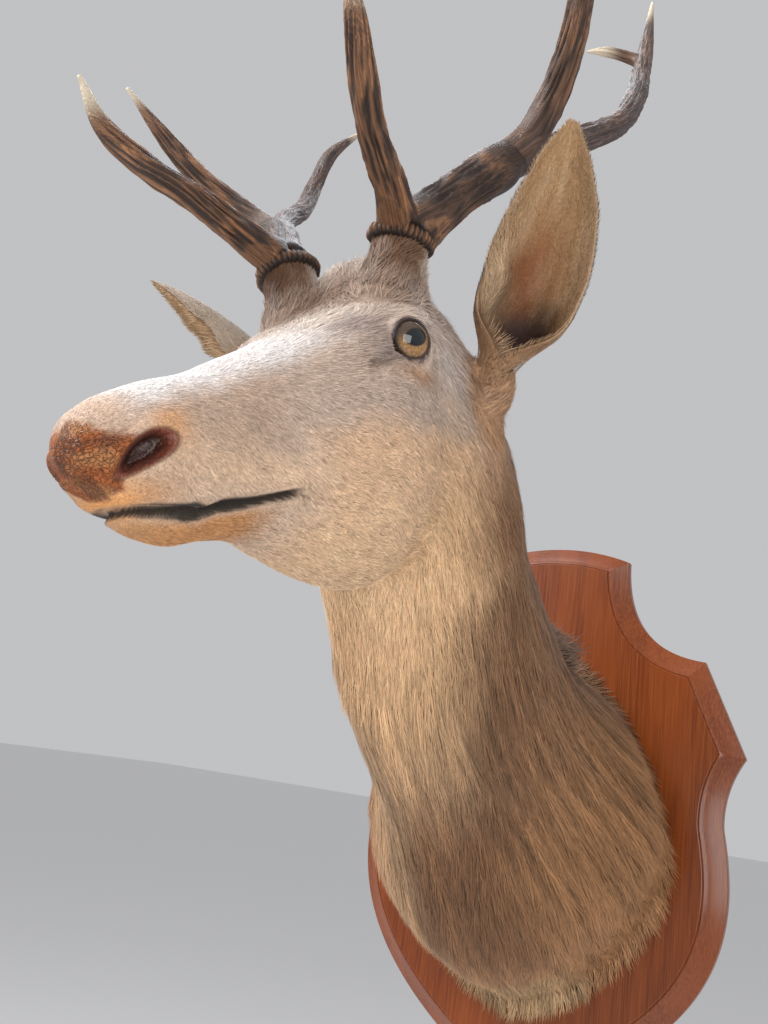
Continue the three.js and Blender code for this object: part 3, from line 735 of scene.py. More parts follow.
def ear_profile(side, t):
    """Centre of the crescent, its radius, wrap and wall at a share t of the ear's length."""
    root, tip, _, facing, across = ear_frame(side)
    t = np.asarray(t, float)
    place = np.clip(t, 0, 1) * (len(EAR_HALF_WIDTHS) - 1)
    wrap = smooth_rows(EAR_WRAPS, place)[..., 0]
    half = smooth_rows(EAR_HALF_WIDTHS, place)[..., 0] * MM
    radius = half / np.sin(np.minimum(wrap, np.pi / 2))
    wall = np.minimum(EAR_WALL, 0.45 * radius) * (1 - 0.6 * t)
    bow = np.sin(np.pi * np.clip(t, 0, 1)) * EAR_BOW
    centre = root + (tip - root) * t[..., None] + facing * (radius * EAR_SEAT - bow)[..., None]
    return centre + across * (side * bow)[..., None], radius, wrap, wall


EAR_WAVE = Field(5)


def ear_rings(side):
    """Crescent rings from root to tip. The outside follows the radius; the inside lies a wall
    further in, with a soft fold of hair near the front rim and a slightly wavy edge."""
    _, _, _, facing, across = ear_frame(side)
    t = np.linspace(0, 1, EAR_ROWS)
    centre, radius, wrap, wall = ear_profile(side, t)
    share = np.linspace(-1, 1, EAR_ARC)
    wave = EAR_WAVE(t[:, None] * 15 + 20 * side, share[None] * 1.5)
    edge = wrap[:, None] * (1 + 0.08 * wave * ease(0.1, 0.4, t)[:, None])
    angle = edge * share[None]
    front = -side * share[None]
    fold = EAR_FOLD * bell(front, 0.6, 0.24) * bell(t[:, None], 0.36, 0.17)
    ridges = 0.5 * MM * np.sin(share[None] * 14) * np.sin(np.pi * t)[:, None]
    thin = 1 - 0.45 * np.abs(share[None]) ** 6
    outer = radius[:, None] - EAR_COAT + 0 * angle
    inner = outer - wall[:, None] * thin - fold - np.abs(ridges)

    def arc_points(reach, angles):
        across_part = across * (reach * np.sin(angles))[..., None]
        return centre[:, None] + across_part - facing * (reach * np.cos(angles))[..., None]

    return np.concatenate([arc_points(outer, angle), arc_points(inner, angle)[:, ::-1]], 1)


# %% One skin
EASED_REACH = 42 * MM
THROAT_REACH = 46 * MM
PEDICLE_BASE = [-50, 41, 66]
THROAT_STATIONS = np.array([12.0, 12.4, 12.75, 12.75, 12.75, 12.75, 12.75, 12.4, 12.0])
THROAT_ANGLES = np.radians([8, -14, -35, -62, -90, -118, -145, -166, -188])
NET_START, NET_END = 10.7, 13.8
PAD_SINK, PAD_THICK = 1.6 * MM, 24 * MM


def eased_places(side):
    """Where a pedicle and an ear leave the head."""
    ear_base = np.array(EARS[side]["root"]) + [0, 6 * side, 4]
    return side_point(PEDICLE_BASE, side), head_point(ear_base)


def throat_places():
    """Where the jaw turns into the throat, from side to side."""
    return skin(THROAT_STATIONS, THROAT_ANGLES)[0]


def throat_net(share, angle):
    """Cubic curves from the jaw to the neck that leave and arrive along the skin, so that they span
    the fold between them, and the way out from each. They hug the fold most underneath."""
    start, leaving, outward = skin(NET_START + 0 * angle, angle)
    end, arriving, last_outward = skin(NET_END + 0 * angle, angle)
    hug = 0.30 + 0.18 * bell(np.degrees(angle), -90, 36)[..., None]
    reach = np.linalg.norm(end - start, axis=-1, keepdims=True) * hug
    corners = [start, start + leaving * reach, end - arriving * reach, end]
    weights = [(1 - share) ** 3, 3 * share * (1 - share) ** 2, 3 * share**2 * (1 - share), share**3]
    points = sum(corner * weight[..., None] for corner, weight in zip(corners, weights))
    return points, unit(outward * (1 - share[..., None]) + last_outward * share[..., None])


def throat_pad():
    """A closed crescent under the net that fills the fold behind the jaw."""
    angle = np.radians(np.linspace(-200, 20, 110))[None]
    outside, away = throat_net(np.linspace(0, 1, 44)[:, None], angle)
    outside = outside - away * PAD_SINK
    inside = outside - away * PAD_THICK
    return closed_tube(np.concatenate([outside, inside[::-1]]).transpose(1, 0, 2))


def fused_skin():
    """The body, throat pad, pedicles, ear roots and ears as one surface, eased where they meet."""
    shells = [body, throat_pad()]
    for side in (1, -1):
        shells.append(closed_tube(pedicle_rings(side)))
        shells.append(closed_tube(ear_root_rings(side)))
        shells.append(closed_tube(ear_rings(side)))
    points, faces = fuse("skin_shell", shells)
    weight = np.zeros(len(points))
    for side in (1, -1):
        foot, root = eased_places(side)
        weight += plateau(points, foot, EASED_REACH)
        weight += 0.8 * plateau(points, root, EASED_REACH)
        radius = eye_polar(points, side)[1]
        weight *= ease(0.024, 0.034, radius)
    points = relax(points, faces, np.clip(weight, 0, 1) * 0.6, 14)
    weight = sum(plateau(points, place, THROAT_REACH) for place in throat_places())
    return relax(points, faces, np.clip(weight, 0, 1) * 0.8, 320), faces


def corner_normals(points, faces):
    """Normals of points: the sum of the cross products of their faces."""
    first, second, third = (points[faces[:, k]] for k in range(3))
    across = np.cross(second - first, third - first)
    total = [np.bincount(faces.ravel(), np.repeat(across[:, axis], 3), len(points)) for axis in range(3)]
    return unit(np.stack(total, 1))


skin_points, skin_faces = fused_skin()
skin_normals = corner_normals(skin_points, skin_faces)
print("skin:", len(skin_faces), "triangles")


def settle(points):
    """Moves places on the unfused body onto the eased skin: along the nearest skin point's
    normal, by the distance to its tangent plane. Also returns how far each place moved."""
    flat = points.reshape(-1, 3)
    shift = np.zeros(flat.shape)
    reach = 1.7 * EASED_REACH
    for hub in (*eased_places(1), *eased_places(-1), *throat_places()):
        near = np.linalg.norm(skin_points - hub, axis=1) < 1.1 * reach
        away = np.linalg.norm(flat - hub, axis=1)
        own = np.flatnonzero(away < reach)
        for part in np.array_split(own, len(own) // 2000 + 1):
            square = (skin_points[near]**2).sum(1)[None] - 2 * flat[part] @ skin_points[near].T
            nearest = square.argmin(1)
            normal = skin_normals[near][nearest]
            height = ((skin_points[near][nearest] - flat[part]) * normal).sum(1)
            moved = normal * (height * ease(reach, 0.8 * reach, away[part]))[:, None]
            larger = np.linalg.norm(moved, axis=1) > np.linalg.norm(shift[part], axis=1)
            shift[part] = np.where(larger[:, None], moved, shift[part])
    moved = np.linalg.norm(shift, axis=1)
    return (flat + shift).reshape(points.shape), moved.reshape(points.shape[:-1])


# %% [markdown]
# ## The colours of the coat
#
# The skin and the tufts that lie on it share one painting, a function of place alone, so their
# markings always agree. Soft masks in the head's frame lay pale fur on the top of the nose and the
# forehead, with a painted highlight along the top of the nose, a warm patch on the cheek, orange on
# the nose pad and darker brown down the nape. Painted light pales the throat under the jaw and the
# cheek behind the eye, and painted shade darkens the insides of the nostrils and the ears' hollows.
# On the neck a point's place along and around the nearest section decides.

# %% Places on the body
BODY_CHUNK = 20000


def squared_gaps(points, line):
    """Squares of the distances between all points and all places of a line."""
    return (points**2).sum(1)[:, None] - 2 * points @ line.T + (line**2).sum(1)[None]


def body_place(points):
    """Nearest section position and angle of points, from the dense middle line of the body."""
    t = np.linspace(0, BODY_END, 340)
    row = smooth_rows(SECTIONS, t)
    middle = row[:, 3:6] + (row[:, 0:3] - row[:, 3:6]) * row[:, 10:11]
    nearest = np.empty(len(points), int)
    for start in range(0, len(points), BODY_CHUNK):
        part = slice(start, start + BODY_CHUNK)
        nearest[part] = squared_gaps(points[part], middle).argmin(1)
    row, q = row[nearest], points - middle[nearest]
    up = unit(row[:, 0:3] - row[:, 3:6])
    rise = np.einsum("ij,ij->i", q, up)
    across = np.einsum("ij,ij->i", q, unit(row[:, 6:9]))
    return t[nearest], np.arctan2(rise, across)


def ear_place(points, side):
    """Share of the ear's length, share of the wrap from back to front rim, and inside or not."""
    root, tip, axis, facing, across = ear_frame(side)
    t = ((points - root) @ axis) / np.linalg.norm(tip - root)
    centre, radius, wrap, _ = ear_profile(side, t)
    q = points - centre
    x, y = q @ across, -(q @ facing)
    reach, angle = np.hypot(x, y), np.arctan2(x, y)
    on_ear = (t > -0.02) * (t < 1.1) * (reach < radius + 0.006) * (np.abs(angle) < wrap * 1.12 + 0.05)
    return t, -side * angle / wrap, on_ear * 1.0, ease(-0.0012, -0.0022, reach - radius)


# %% Coat colours
COAT = {name: np.array(rgb) for name, rgb in {
    "face": (0.59, 0.425, 0.32),
    # pale fur on the top of the nose, raised to a painted highlight
    "pale_highlight": (0.76, 0.71, 0.69),
    "forehead": (0.62, 0.53, 0.46),
    "brow": (0.33, 0.26, 0.235),
    "mound": (0.33, 0.215, 0.145),
    "pedicle": (0.50, 0.40, 0.33),
    "cheek": (0.56, 0.425, 0.34),
    "cheek_warm": (0.73, 0.485, 0.31),
    "upper_lip": (0.76, 0.54, 0.37),
    "lip_front": (0.82, 0.35, 0.085),
    "chin": (0.63, 0.28, 0.085),
    "jaw": (0.78, 0.53, 0.33),
    # pale throat fur, made paler by painted light
    "throat_pale_lit": (0.82, 0.54, 0.31),
    "throat": (0.70, 0.45, 0.250),
    "side": (0.300, 0.160, 0.084),
    "nape": (0.19, 0.105, 0.06),
    "streak": (0.12, 0.052, 0.023),
    "breast": (0.37, 0.185, 0.080),
    "cream": (0.48, 0.325, 0.175),
    "warm_brown": (0.19, 0.105, 0.062),
    "dark": (0.10, 0.06, 0.04),
    "orange": (0.52, 0.25, 0.10),
    "pad": (0.38, 0.105, 0.024),
    "pad_dark": (0.07, 0.026, 0.012),
    "wet": (0.20, 0.056, 0.032),
    # painted shade inside the nostrils
    "nostril_shade": (0.042, 0.011, 0.007),
    "lid": (0.05, 0.032, 0.032),
    "lip_black": (0.045, 0.034, 0.026),
    "ear_inner": (0.43, 0.26, 0.13),
    "ear_deep": (0.22, 0.062, 0.012),
    "ear_orange": (0.42, 0.23, 0.115),
    "ear_pale": (0.62, 0.44, 0.28),
    # painted shade in the hollow of the ear's cup
    "ear_hollow_shade": (0.026, 0.008, 0.005),
    "ear_back": (0.40, 0.31, 0.235),
}.items()}
COARSE, MEDIUM, FINE, STREAKS = Field(21), Field(22), Field(23), Field(24, 256)


def mix(base, *layers, table=COAT):
    """Base moved towards each named colour in turn, by its mask."""
    for name, mask in layers:
        base = base + (table[name] - base) * np.clip(mask, 0, 1)[:, None]
    return base


def blob(f, u, at_f, at_u, wide, high):
    """Bell round a place in the head's side view."""
    return np.exp(-(((f - at_f) / wide) ** 2 + ((u - at_u) / high) ** 2))


# Forward place and height of the head's upper outline, between the top of the nose and the cheek.
TOP_LINE = np.array([[-80, 70], [-32, 55], [10, 38], [48, 22], [88, 6], [125, -9], [160, -23], [196, -33],
                     [235, -52]])


def head_paint(points, colour):
    """Markings of the face, in the head's forward, left and up, with a painted highlight along the top of
    the nose and a spot of painted shade for the right nostril's opening.
    """
    f, l, u = in_head(points).T
    wide = np.abs(l)
    wobble = 6 * COARSE(f / 26, l / 22 + u / 30) + 3 * MEDIUM(f / 11, u / 9 + l / 10)
    over_top = u + wobble - np.interp(f, *TOP_LINE.T)
    under = ease(-2, -8, mouth_gap(points)[0]) * ease(86, 110, f)
    tear = np.exp(-(((f - 37) / 11) ** 2 + ((u + 10 + (f - 37) * 0.35) / 4.2) ** 2))
    hollow = blob(f, u, 27, -1, 15, 9)
    on_side = ease(45, 58, wide)
    return mix(
        colour,
        ("cheek", ease(150, 90, f)),
        # pale fur on the top of the nose, lightened by a painted highlight
        ("pale_highlight", ease(-22, -4, over_top - wobble * 0.4) * ease(30, 70, f) * ease(238, 215, f)),
        ("forehead", ease(-10, 8, over_top + 6) * ease(90, 45, f) * ease(-60, -20, f)),
        ("cheek_warm", ease(-38, -66, u + wobble) * ease(116, 62, f + wobble)),
        ("upper_lip", blob(f, u, 178, -84, 42, 15) + blob(f, u, 120, -86, 36, 12)),
        ("jaw", ease(-84, -122, u + wobble) * ease(150, 60, f) * 0.9),
        ("chin", 0.85 * under * ease(-138, -124, u + wobble) * ease(108, 150, f + wobble)),
        ("cream", 0.5 * blob(f, u, 232, -112, 22, 9)),
        ("brow", 0.75 * blob(f, u, 34, 20, 32, 15) * ease(24, 46, wide + wobble)),
        ("forehead", 0.8 * blob(f, u, -14, 33, 14, 7) * ease(30, 60, wide)),
        ("mound", 0.8 * ease(28, 46, u + wobble) * ease(26, -6, f + wobble)),
        ("warm_brown", 0.75 * ease(38, 56, u + wobble) * ease(4, -26, f + wobble)),
        ("orange", 0.6 * blob(f, u, 4, -15, 22, 6) * ease(40, 60, wide)),
        ("lip_front", 0.85 * blob(f, u, 232, -103, 14, 12) * ease(34, 18, wide)),
        ("lip_front", 0.5 * blob(f, u, 214, -62, 12, 14) * ease(24, 34, wide)),
        ("orange", 0.55 * blob(f, u, 222, -98, 16, 9) * ease(14, 26, wide)),
        ("orange", 0.22 * blob(f, u, 222, -58, 16, 14) * (1 - 0.5 * ease(30, 20, wide))),
        ("dark", 0.8 * tear * on_side),
        ("dark", 0.75 * blob(f, u, 18, 1, 6, 4) * on_side),
        ("brow", 0.9 * hollow * on_side),
        ("dark", 0.35 * hollow * on_side * ease(-0.4, 0.5, FINE(f / 3, u / 1.6))),
        # painted shade: a dark spot near the tip for the right nostril's opening
        ("nostril_shade", 0.9 * blob(l, u, -10, -87, 4.5, 5.5) * ease(232, 240, f)),
    )


def nose_pad(points):
    """The bare rhinarium: in front of a line that leans back from the lip to the nostril's top."""
    f, l, u = in_head(points).T
    wobble = 2.5 * MEDIUM(u / 5 + 9, l / 5) + 1.2 * FINE(l / 2.2, u / 2.2)
    front = f + 0.2 * (u + 80) - 0.05 * np.abs(l) + wobble
    return ease(227, 232, front) * ease(-102, -98, u) * ease(-59, -65, u + wobble + 0.25 * np.abs(l))


def paint_pad(points, colour):
    """Mottled orange-brown pad crossed by dark cracks, where two soft fields pass through zero."""
    f, l, u = in_head(points).T
    crack = 1 - ease(0.04, 0.16, np.abs(MEDIUM(l / 4.2, u / 4.0 + f / 6)))
    crack = np.maximum(crack, 0.7 * (1 - ease(0.03, 0.13, np.abs(FINE(l / 2.6 + 7, u / 2.4 + f / 5)))))
    on_pad = nose_pad(points)
    patches = ease(-0.5, 0.6, COARSE(l / 9 + 3, u / 8))
    return mix(
        colour,
        ("pad", on_pad),
        ("orange", on_pad * 0.6 * patches),
        ("pad_dark", on_pad * 0.5 * ease(0.1, -0.6, MEDIUM(l / 6 + 2, u / 6))),
        ("pad_dark", on_pad * crack * 0.45),
    )


# Forward place and the lip line's width there.
LIP_WIDTHS = np.array([[110, 0.85], [130, 1.0], [198, 1.15], [212, 1.0], [228, 0.75]])
LID_BACK = -4 * MM


def paint_openings(points, colour):
    """Wet nostrils darkened towards their middles by painted shade, black lips and dark lid rims."""
    gap, share = mouth_gap(points)
    for side in (1, -1):
        ring = nostril_place(points, side)[0]
        height, radius, phi = eye_polar(points, side)
        edge = (radius - lid_rim(phi)) / MM
        near = height > LID_BACK
        colour = mix(
            colour,
            ("pad_dark", 0.5 * ease(1.22, 1.1, ring)),
            ("wet", ease(1.12, 1.0, ring)),
            # painted shade: darker towards the middle of each nostril's pit
            ("nostril_shade", ease(0.95, 0.55, ring)),
            ("warm_brown", 0.5 * near * ease(4.2, 2.0, edge)),
            ("lid", near * ease(3.2, 2.2, edge)),
        )
    f = in_head(points)[:, 0]
    ragged = 2.7 + 1.0 * MEDIUM(f / 13, 4.5) + 0.3 * FINE(f / 5, 8.5)
    across_lips = np.abs(gap) / (ragged * np.interp(f, *LIP_WIDTHS.T))
    return mix(colour, ("lip_black", 1.15 * ease(1.55, 0.75, across_lips) * share * ease(227, 222, f)))


# The dark streak's place along the neck and its angle from below there.
STREAK_LINE = np.array([[13.6, 50], [14.4, 40], [15.6, 14]])
NAPE_TUFT_PLACE = np.array([0.075, -0.128, 0.143])
NAPE_TUFT_SIZE = np.array([20, 20, 16]) * MM


def neck_paint(points, colour):
    """Markings of the neck by place along (t) and around: pale throat, brown side, dark nape; painted light
    on the cheek behind the eye and on the throat under the jaw.
    """
    t, angle = body_place(points)
    degrees = np.degrees(angle)
    from_below = (degrees + 90 + 180) % 360 - 180
    around = np.abs(from_below)
    wobble = 9 * COARSE(t * 2.2, degrees / 17) + 5 * MEDIUM(t * 4, degrees / 6)
    on_neck = ease(11.2, 13.0, t + wobble * 0.02)
    ragged = around + wobble
    streak = bell(around + wobble * 0.5, np.interp(t, *STREAK_LINE.T), 24)
    from_band = np.abs(from_below + 38) + 0.5 * wobble
    from_tuft = np.linalg.norm((points - NAPE_TUFT_PLACE) / NAPE_TUFT_SIZE, axis=1)
    return mix(
        colour,
        # painted light: a pale patch on the cheek behind the eye, where the skin lies in shade
        ("pale_highlight", 0.45 * bell(t, 10.7, 0.8) * bell(around, 95, 26)),
        ("side", on_neck),
        ("throat", on_neck * ease(64, 24, ragged) * ease(15.4, 14.0, t)),
        # pale throat fur under the jaw, made paler still by painted light where it lies in shade
        ("throat_pale_lit", 0.8 * ease(9.0, 12.8, t) * ease(14.2, 12.9, t) * ease(92, 36, ragged)),
        ("nape", on_neck * 0.85 * ease(96, 132, ragged)),
        ("breast", 0.8 * ease(14.4, 15.6, t + wobble * 0.02) * ease(150, 110, around)),
        ("streak", 0.66 * streak * ease(13.2, 14.4, t) * ease(16.5, 15.9, t)),
        ("throat", 0.6 * ease(14.2, 15.0, t) * ease(16.6, 15.8, t) * ease(36, 12, from_band)),
        ("cream", 0.8 * ease(16.15, 16.75, t + wobble * 0.015) * ease(46, 22, around + wobble * 0.5)),
        ("dark", 0.9 * ease(1.5, 0.6, from_tuft)),
    )


def ear_paint(points, colour):
    """Orange-tan inside, deeper towards the hollow and nearly black in it by painted shade, pale fold and
    rims, tan back.
    """
    for side in (1, -1):
        t, front, on_ear, inside = ear_place(points, side)
        wobble = 0.12 * MEDIUM(t * 9 + side, front * 4)
        back = mix(np.broadcast_to(COAT["ear_back"], colour.shape), ("ear_orange", 0.9 * ease(0.5, 0.1, t)))
        to_rim = np.abs(front)
        cup = mix(
            np.broadcast_to(COAT["ear_inner"], colour.shape),
            ("ear_deep", 0.9 * bell(t + wobble, 0.36, 0.30) * bell(front + wobble, 0.12, 0.5)),
            # painted shade: near black in the hollow of the cup near the root
            ("ear_hollow_shade", bell(t + wobble * 0.5, 0.17, 0.16) * ease(0.95, 0.5, np.abs(front - 0.1))),
            ("ear_pale", 0.9 * bell(front + wobble, 0.72, 0.32) * bell(t, 0.34, 0.24)),
            ("ear_pale", 0.45 * MEDIUM(front * 7, t * 5 + side) * ease(0.2, 0.4, t)),
            ("ear_pale", 0.6 * ease(0.84, 0.97, to_rim) * ease(0.15, 0.3, t)),
            ("ear_pale", 0.85 * ease(0.55, 0.85, to_rim + wobble) * ease(0.32, 0.2, t)),
        )
        both = back + (cup - back) * inside[:, None]
        share = on_ear * ease(-0.02, 0.05, t)
        colour = colour + (both - colour) * share[:, None]
    return colour


def pedicle_paint(points, colour):
    """Grey-tan stalks, dark brown on their front and just under the burr."""
    for side in (1, -1):
        foot, top = side_point(PEDICLE_FOOT, side), side_point(BURR_CENTRE, side)
        axis = unit(top - foot)
        rise = (points - foot) @ axis
        along = rise / np.linalg.norm(top - foot)
        offset = points - foot - rise[:, None] * axis
        off = np.linalg.norm(offset, axis=1)
        forward = offset @ HEAD[0] / MM + 6 * COARSE(along * 5, off * 90)
        near = ease(0.050, 0.036, off) * ease(0.25, 0.5, along)
        brown = np.maximum(ease(2, 12, forward), ease(0.80, 0.95, along))
        darkest = np.maximum(0.5 * ease(6, 16, forward), 0.8 * ease(0.84, 0.96, along))
        colour = mix(
            colour, ("pedicle", 0.9 * near), ("warm_brown", 0.95 * near * brown), ("streak", near * darkest)
        )
    return colour


def ear_root_paint(points, colour):
    """Orange fur on the mound under each ear."""
    for side in (1, -1):
        root = head_point(np.array(EARS[side]["root"]) + [0, -6 * side, -8])
        away = np.linalg.norm(points - root, axis=1)
        colour = mix(colour, ("ear_orange", 0.85 * ease(0.052, 0.030, away)))
    return colour


PAINTING = (head_paint, neck_paint, pedicle_paint, ear_root_paint, ear_paint, paint_pad, paint_openings)


def coat_colour(points):
    """All the markings, in order from the ground colour to the openings."""
    colour = np.tile(COAT["face"], (len(points), 1))
    for layer in PAINTING:
        colour = layer(points, colour)
    return colour


def skin_masks(points):
    """Red where the skin is the cracked nose pad, green where it is wet or bare and dark."""
    wet = np.zeros(len(points))
    for side in (1, -1):
        ring = nostril_place(points, side)[0]
        height, radius, phi = eye_polar(points, side)
        lid = (height > LID_BACK) * ease(0.0030, 0.0020, radius - lid_rim(phi))
        wet = np.maximum(wet, np.maximum(ease(1.12, 1.0, ring), 0.6 * lid))
    return np.stack([nose_pad(points) * (1 - wet), wet, np.zeros(len(points))], 1)


skin_object = make_object("skin", skin_points, skin_faces, coat_colour(skin_points))
paint(skin_object.data, skin_masks(skin_points), "Bare")
flesh_nodes = ["breast", "neck_lower", "neck_upper", "head", "muzzle", "lower_jaw", "ear_left", "ear_right"]
enrol(skin_object, "coat", *flesh_nodes)
print("skin painted:", len(COAT), "colours")

# %% [markdown]
# ## Glass eyes
#
# A taxidermist's deer eye is a glass ball, painted behind with a brown iris and a wide, dark
# pupil. The ball is a plain surface of revolution about the look; the iris is left to the finish,
# which knows each point's place on the eye.

# %% Eyes
EYE_RINGS, EYE_SIDES = 48, 96


def eye_ball(side):
    """A ball as rings about the look: radius times sine and cosine of the angle from the pole."""
    centre, look, ahead, above = eye_frame(side)
    polar = np.linspace(0.02, np.pi - 0.02, EYE_RINGS)[:, None, None]
    turn = np.arange(EYE_SIDES)[None, :, None] / EYE_SIDES * 2 * np.pi
    ring = ahead * np.cos(turn) + above * np.sin(turn)
    return closed_tube(centre + EYE_RADIUS * (look * np.cos(polar) + ring * np.sin(polar)))


SIDES = {1: "left", -1: "right"}
eyes = {}
for side, side_name in SIDES.items():
    eyes[side] = make_object(f"glass_eye_{side_name}", *eye_ball(side))
    enrol(eyes[side], "eye", f"eye_{side_name}")
print("eyes:", [eye.name for eye in eyes.values()])

# %% [markdown]
# ## Antlers
#
# Bone that grew under velvet keeps the grooves of its blood vessels, long and slightly wavy, with
# rows of pearls low on the beam and smooth, pale, rubbed tips. A limb's radius is therefore not a
# number but a soft field over angle and length, pinched along the grooves. Tines and beam are fused
# and eased at their forks, where real bone flows together, and the burr is a ring of knobs.

# %% Antler lines
# Each limb is its places and, in the same order but spread evenly, its radii, in millimetres.
BROW_TINE = ([[-54, 54, 112], [-22, 65, 128], [23, 76, 147], [63, 92, 166], [88, 103, 188], [101, 108, 221]],
             [17, 13, 10.5, 9.5, 7, 1.5])
BEAM = ([[-62, 55, 108], [-84, 71, 128], [-112, 90, 152], [-146, 112, 176], [-160, 122, 186]],
        [24, 20, 18, 20, 9])
TREZ_TINE = ([[-146, 113, 177], [-157, 134, 196], [-153, 160, 222], [-139, 182, 248], [-118, 205, 288],
              [-95, 231, 343]], [16, 14, 12.5, 11, 8.5, 1.5])
REAR_RADII = [16, 12.5, 11, 10.5, 9.5, 8, 1.5]
REAR_BEAM = {
    1: ([[-148, 112, 178], [-205, 147, 204], [-279, 187, 241], [-334, 199, 286], [-387, 200, 335],
         [-420, 204, 375], [-462, 213, 448]], REAR_RADII),
    -1: ([[-148, 112, 178], [-205, 147, 206], [-281, 181, 254], [-338, 190, 288], [-388, 197, 338],
          [-411, 184, 379], [-464, 159, 424]], REAR_RADII),
}
REAR_TINE = ([[-409, 200, 358], [-410, 186, 370], [-404, 165, 381], [-400, 147, 386]], [7, 6, 5, 1.2])
ANTLER_SIDES = 92
ANTLER_STEP = 2.0 * MM
GROOVES = 27
GROOVE_DEPTH, PEARL_HEIGHT = 1.25 * MM, 1.1 * MM


def antler_limb(branch, side, seed, pearls):
    """A limb whose radius is carved: ridges stand where a soft field passes through zero, so they
    wander along the bone and fork; pearls fade upwards and the tip is smooth."""
    points, tangents, radius, _ = limb_line(mirrored(branch[0], side), branch[1], ANTLER_STEP)
    count = len(points)
    turn = np.arange(ANTLER_SIDES)[None] / ANTLER_SIDES
    along = np.arange(count)[:, None] * ANTLER_STEP
    field, other, small = Field(seed, GROOVES), Field(seed + 1, GROOVES), Field(seed + 2, 40)
    sway = turn * GROOVES + 0.8 * np.sin(along / 0.045 + seed)
    ridge = 1 - 2.6 * np.abs(field(sway, along / 0.040))
    ridge = 0.75 * np.maximum(ridge, -0.9) + 0.4 * other(sway + 3, along / 0.010)
    knobs = np.maximum(small(turn * 40, along / 0.0035), 0) ** 2 * pearls * (0.35 + np.exp(-along / 0.10))
    smooth_tip = ease(0.02, 0.26, (count - 1 - np.arange(count)[:, None]) / (count - 1))
    depth = np.minimum(0.11 * radius[:, None], GROOVE_DEPTH) * smooth_tip
    pearl = knobs * PEARL_HEIGHT * smooth_tip * ease(0, 0.004, along)
    carved = radius[:, None] + depth * (ridge - 0.3) + pearl
    return closed_tube(limb_rings(points, tangents, carved, ANTLER_SIDES, HEAD[2] * 0.3 + HEAD[0]))


# %% Burr
BURR_KNOBS = 36
BURR_ROWS, BURR_SIDES = 15, 168


def burr_frame(side):
    """Centre and axis of a burr."""
    return side_point(BURR_CENTRE, side), side_direction(BURR_AXIS, side)


def burr_shell(side):
    """The burr turned from its rounded profile, its radius rising and falling over the knobs."""
    centre, axis = burr_frame(side)
    rise = np.linspace(-1, 1, BURR_ROWS)[:, None]
    turn = np.arange(BURR_SIDES)[None] / BURR_SIDES * 2 * np.pi
    field = Field(70 + side)
    beads = np.abs(np.cos(turn * BURR_KNOBS / 2 + 1.3 * field(turn * 1.5, 0.5))) ** 0.8
    size = 1 + 0.35 * field(turn * BURR_KNOBS / 6.2832, 3.2)
    bulge = np.sqrt(np.maximum(1 - rise**2, 0))
    radius = BURR_RADIUS - BURR_ROUNDING + BURR_ROUNDING * bulge * (0.62 + 0.55 * beads * size)
    height = rise * BURR_HEIGHT / 2 * (0.72 + 0.28 * beads)
    start = unit(HEAD[0] - axis * (HEAD[0] @ axis))
    other = np.cross(axis, start)
    ring = start * np.cos(turn)[..., None] + other * np.sin(turn)[..., None]
    return closed_tube(centre + ring * radius[..., None] + axis * height[..., None])


# %% Antler colours and pieces
BEAM_FORK = [-150, 118, 184]
# Each fork's place and how far round it the limbs flow together.
FORKS = (([-52, 58, 128], 22 * MM), (BEAM_FORK, 34 * MM), ([-404, 197, 356], 12 * MM))
BONE = {name: np.array(rgb) for name, rgb in {
    "groove": (0.020, 0.012, 0.009),
    "brown": (0.082, 0.047, 0.032),
    "ridge": (0.28, 0.142, 0.068),
    "slate": (0.10, 0.085, 0.085),
    "ivory": (0.66, 0.56, 0.42),
}.items()}


def antler_branches(side):
    """Every limb of one antler with its share of pearls."""
    branches = [(BEAM, 1.0), (BROW_TINE, 0.5), (TREZ_TINE, 0.4), (REAR_BEAM[side], 0.5)]
    return branches + ([(REAR_TINE, 0.0)] if side > 0 else [])


GRAIN_STRETCH = 0.1
BONE_CHUNK = 10000


def antler_place(points, side):
    """Height over the nearest limb's smooth radius, distance to its tip, which limb it is, and the
    grain: the offset from the middle line plus a tenth of the way along it."""
    limbs = []
    for number, (branch, _) in enumerate(antler_branches(side)):
        line, tangents, radius, length = limb_line(mirrored(branch[0], side), branch[1], MM)
        to_tip = length[-1] - length if number else np.full(len(line), 1.0)
        way = tangents * length[:, None] * GRAIN_STRETCH
        limbs.append((line, radius, to_tip, np.full(len(line), number), way))
    line, radius, to_tip, number, way = (np.concatenate(part) for part in zip(*limbs))
    nearest, height = np.empty(len(points), int), np.empty(len(points))
    for start in range(0, len(points), BONE_CHUNK):
        part = slice(start, start + BONE_CHUNK)
        gap = np.sqrt(np.maximum(squared_gaps(points[part], line), 0)) - radius[None]
        nearest[part] = gap.argmin(1)
        height[part] = gap.min(1)
    return height, to_tip[nearest], number[nearest], points - line[nearest] + way[nearest]


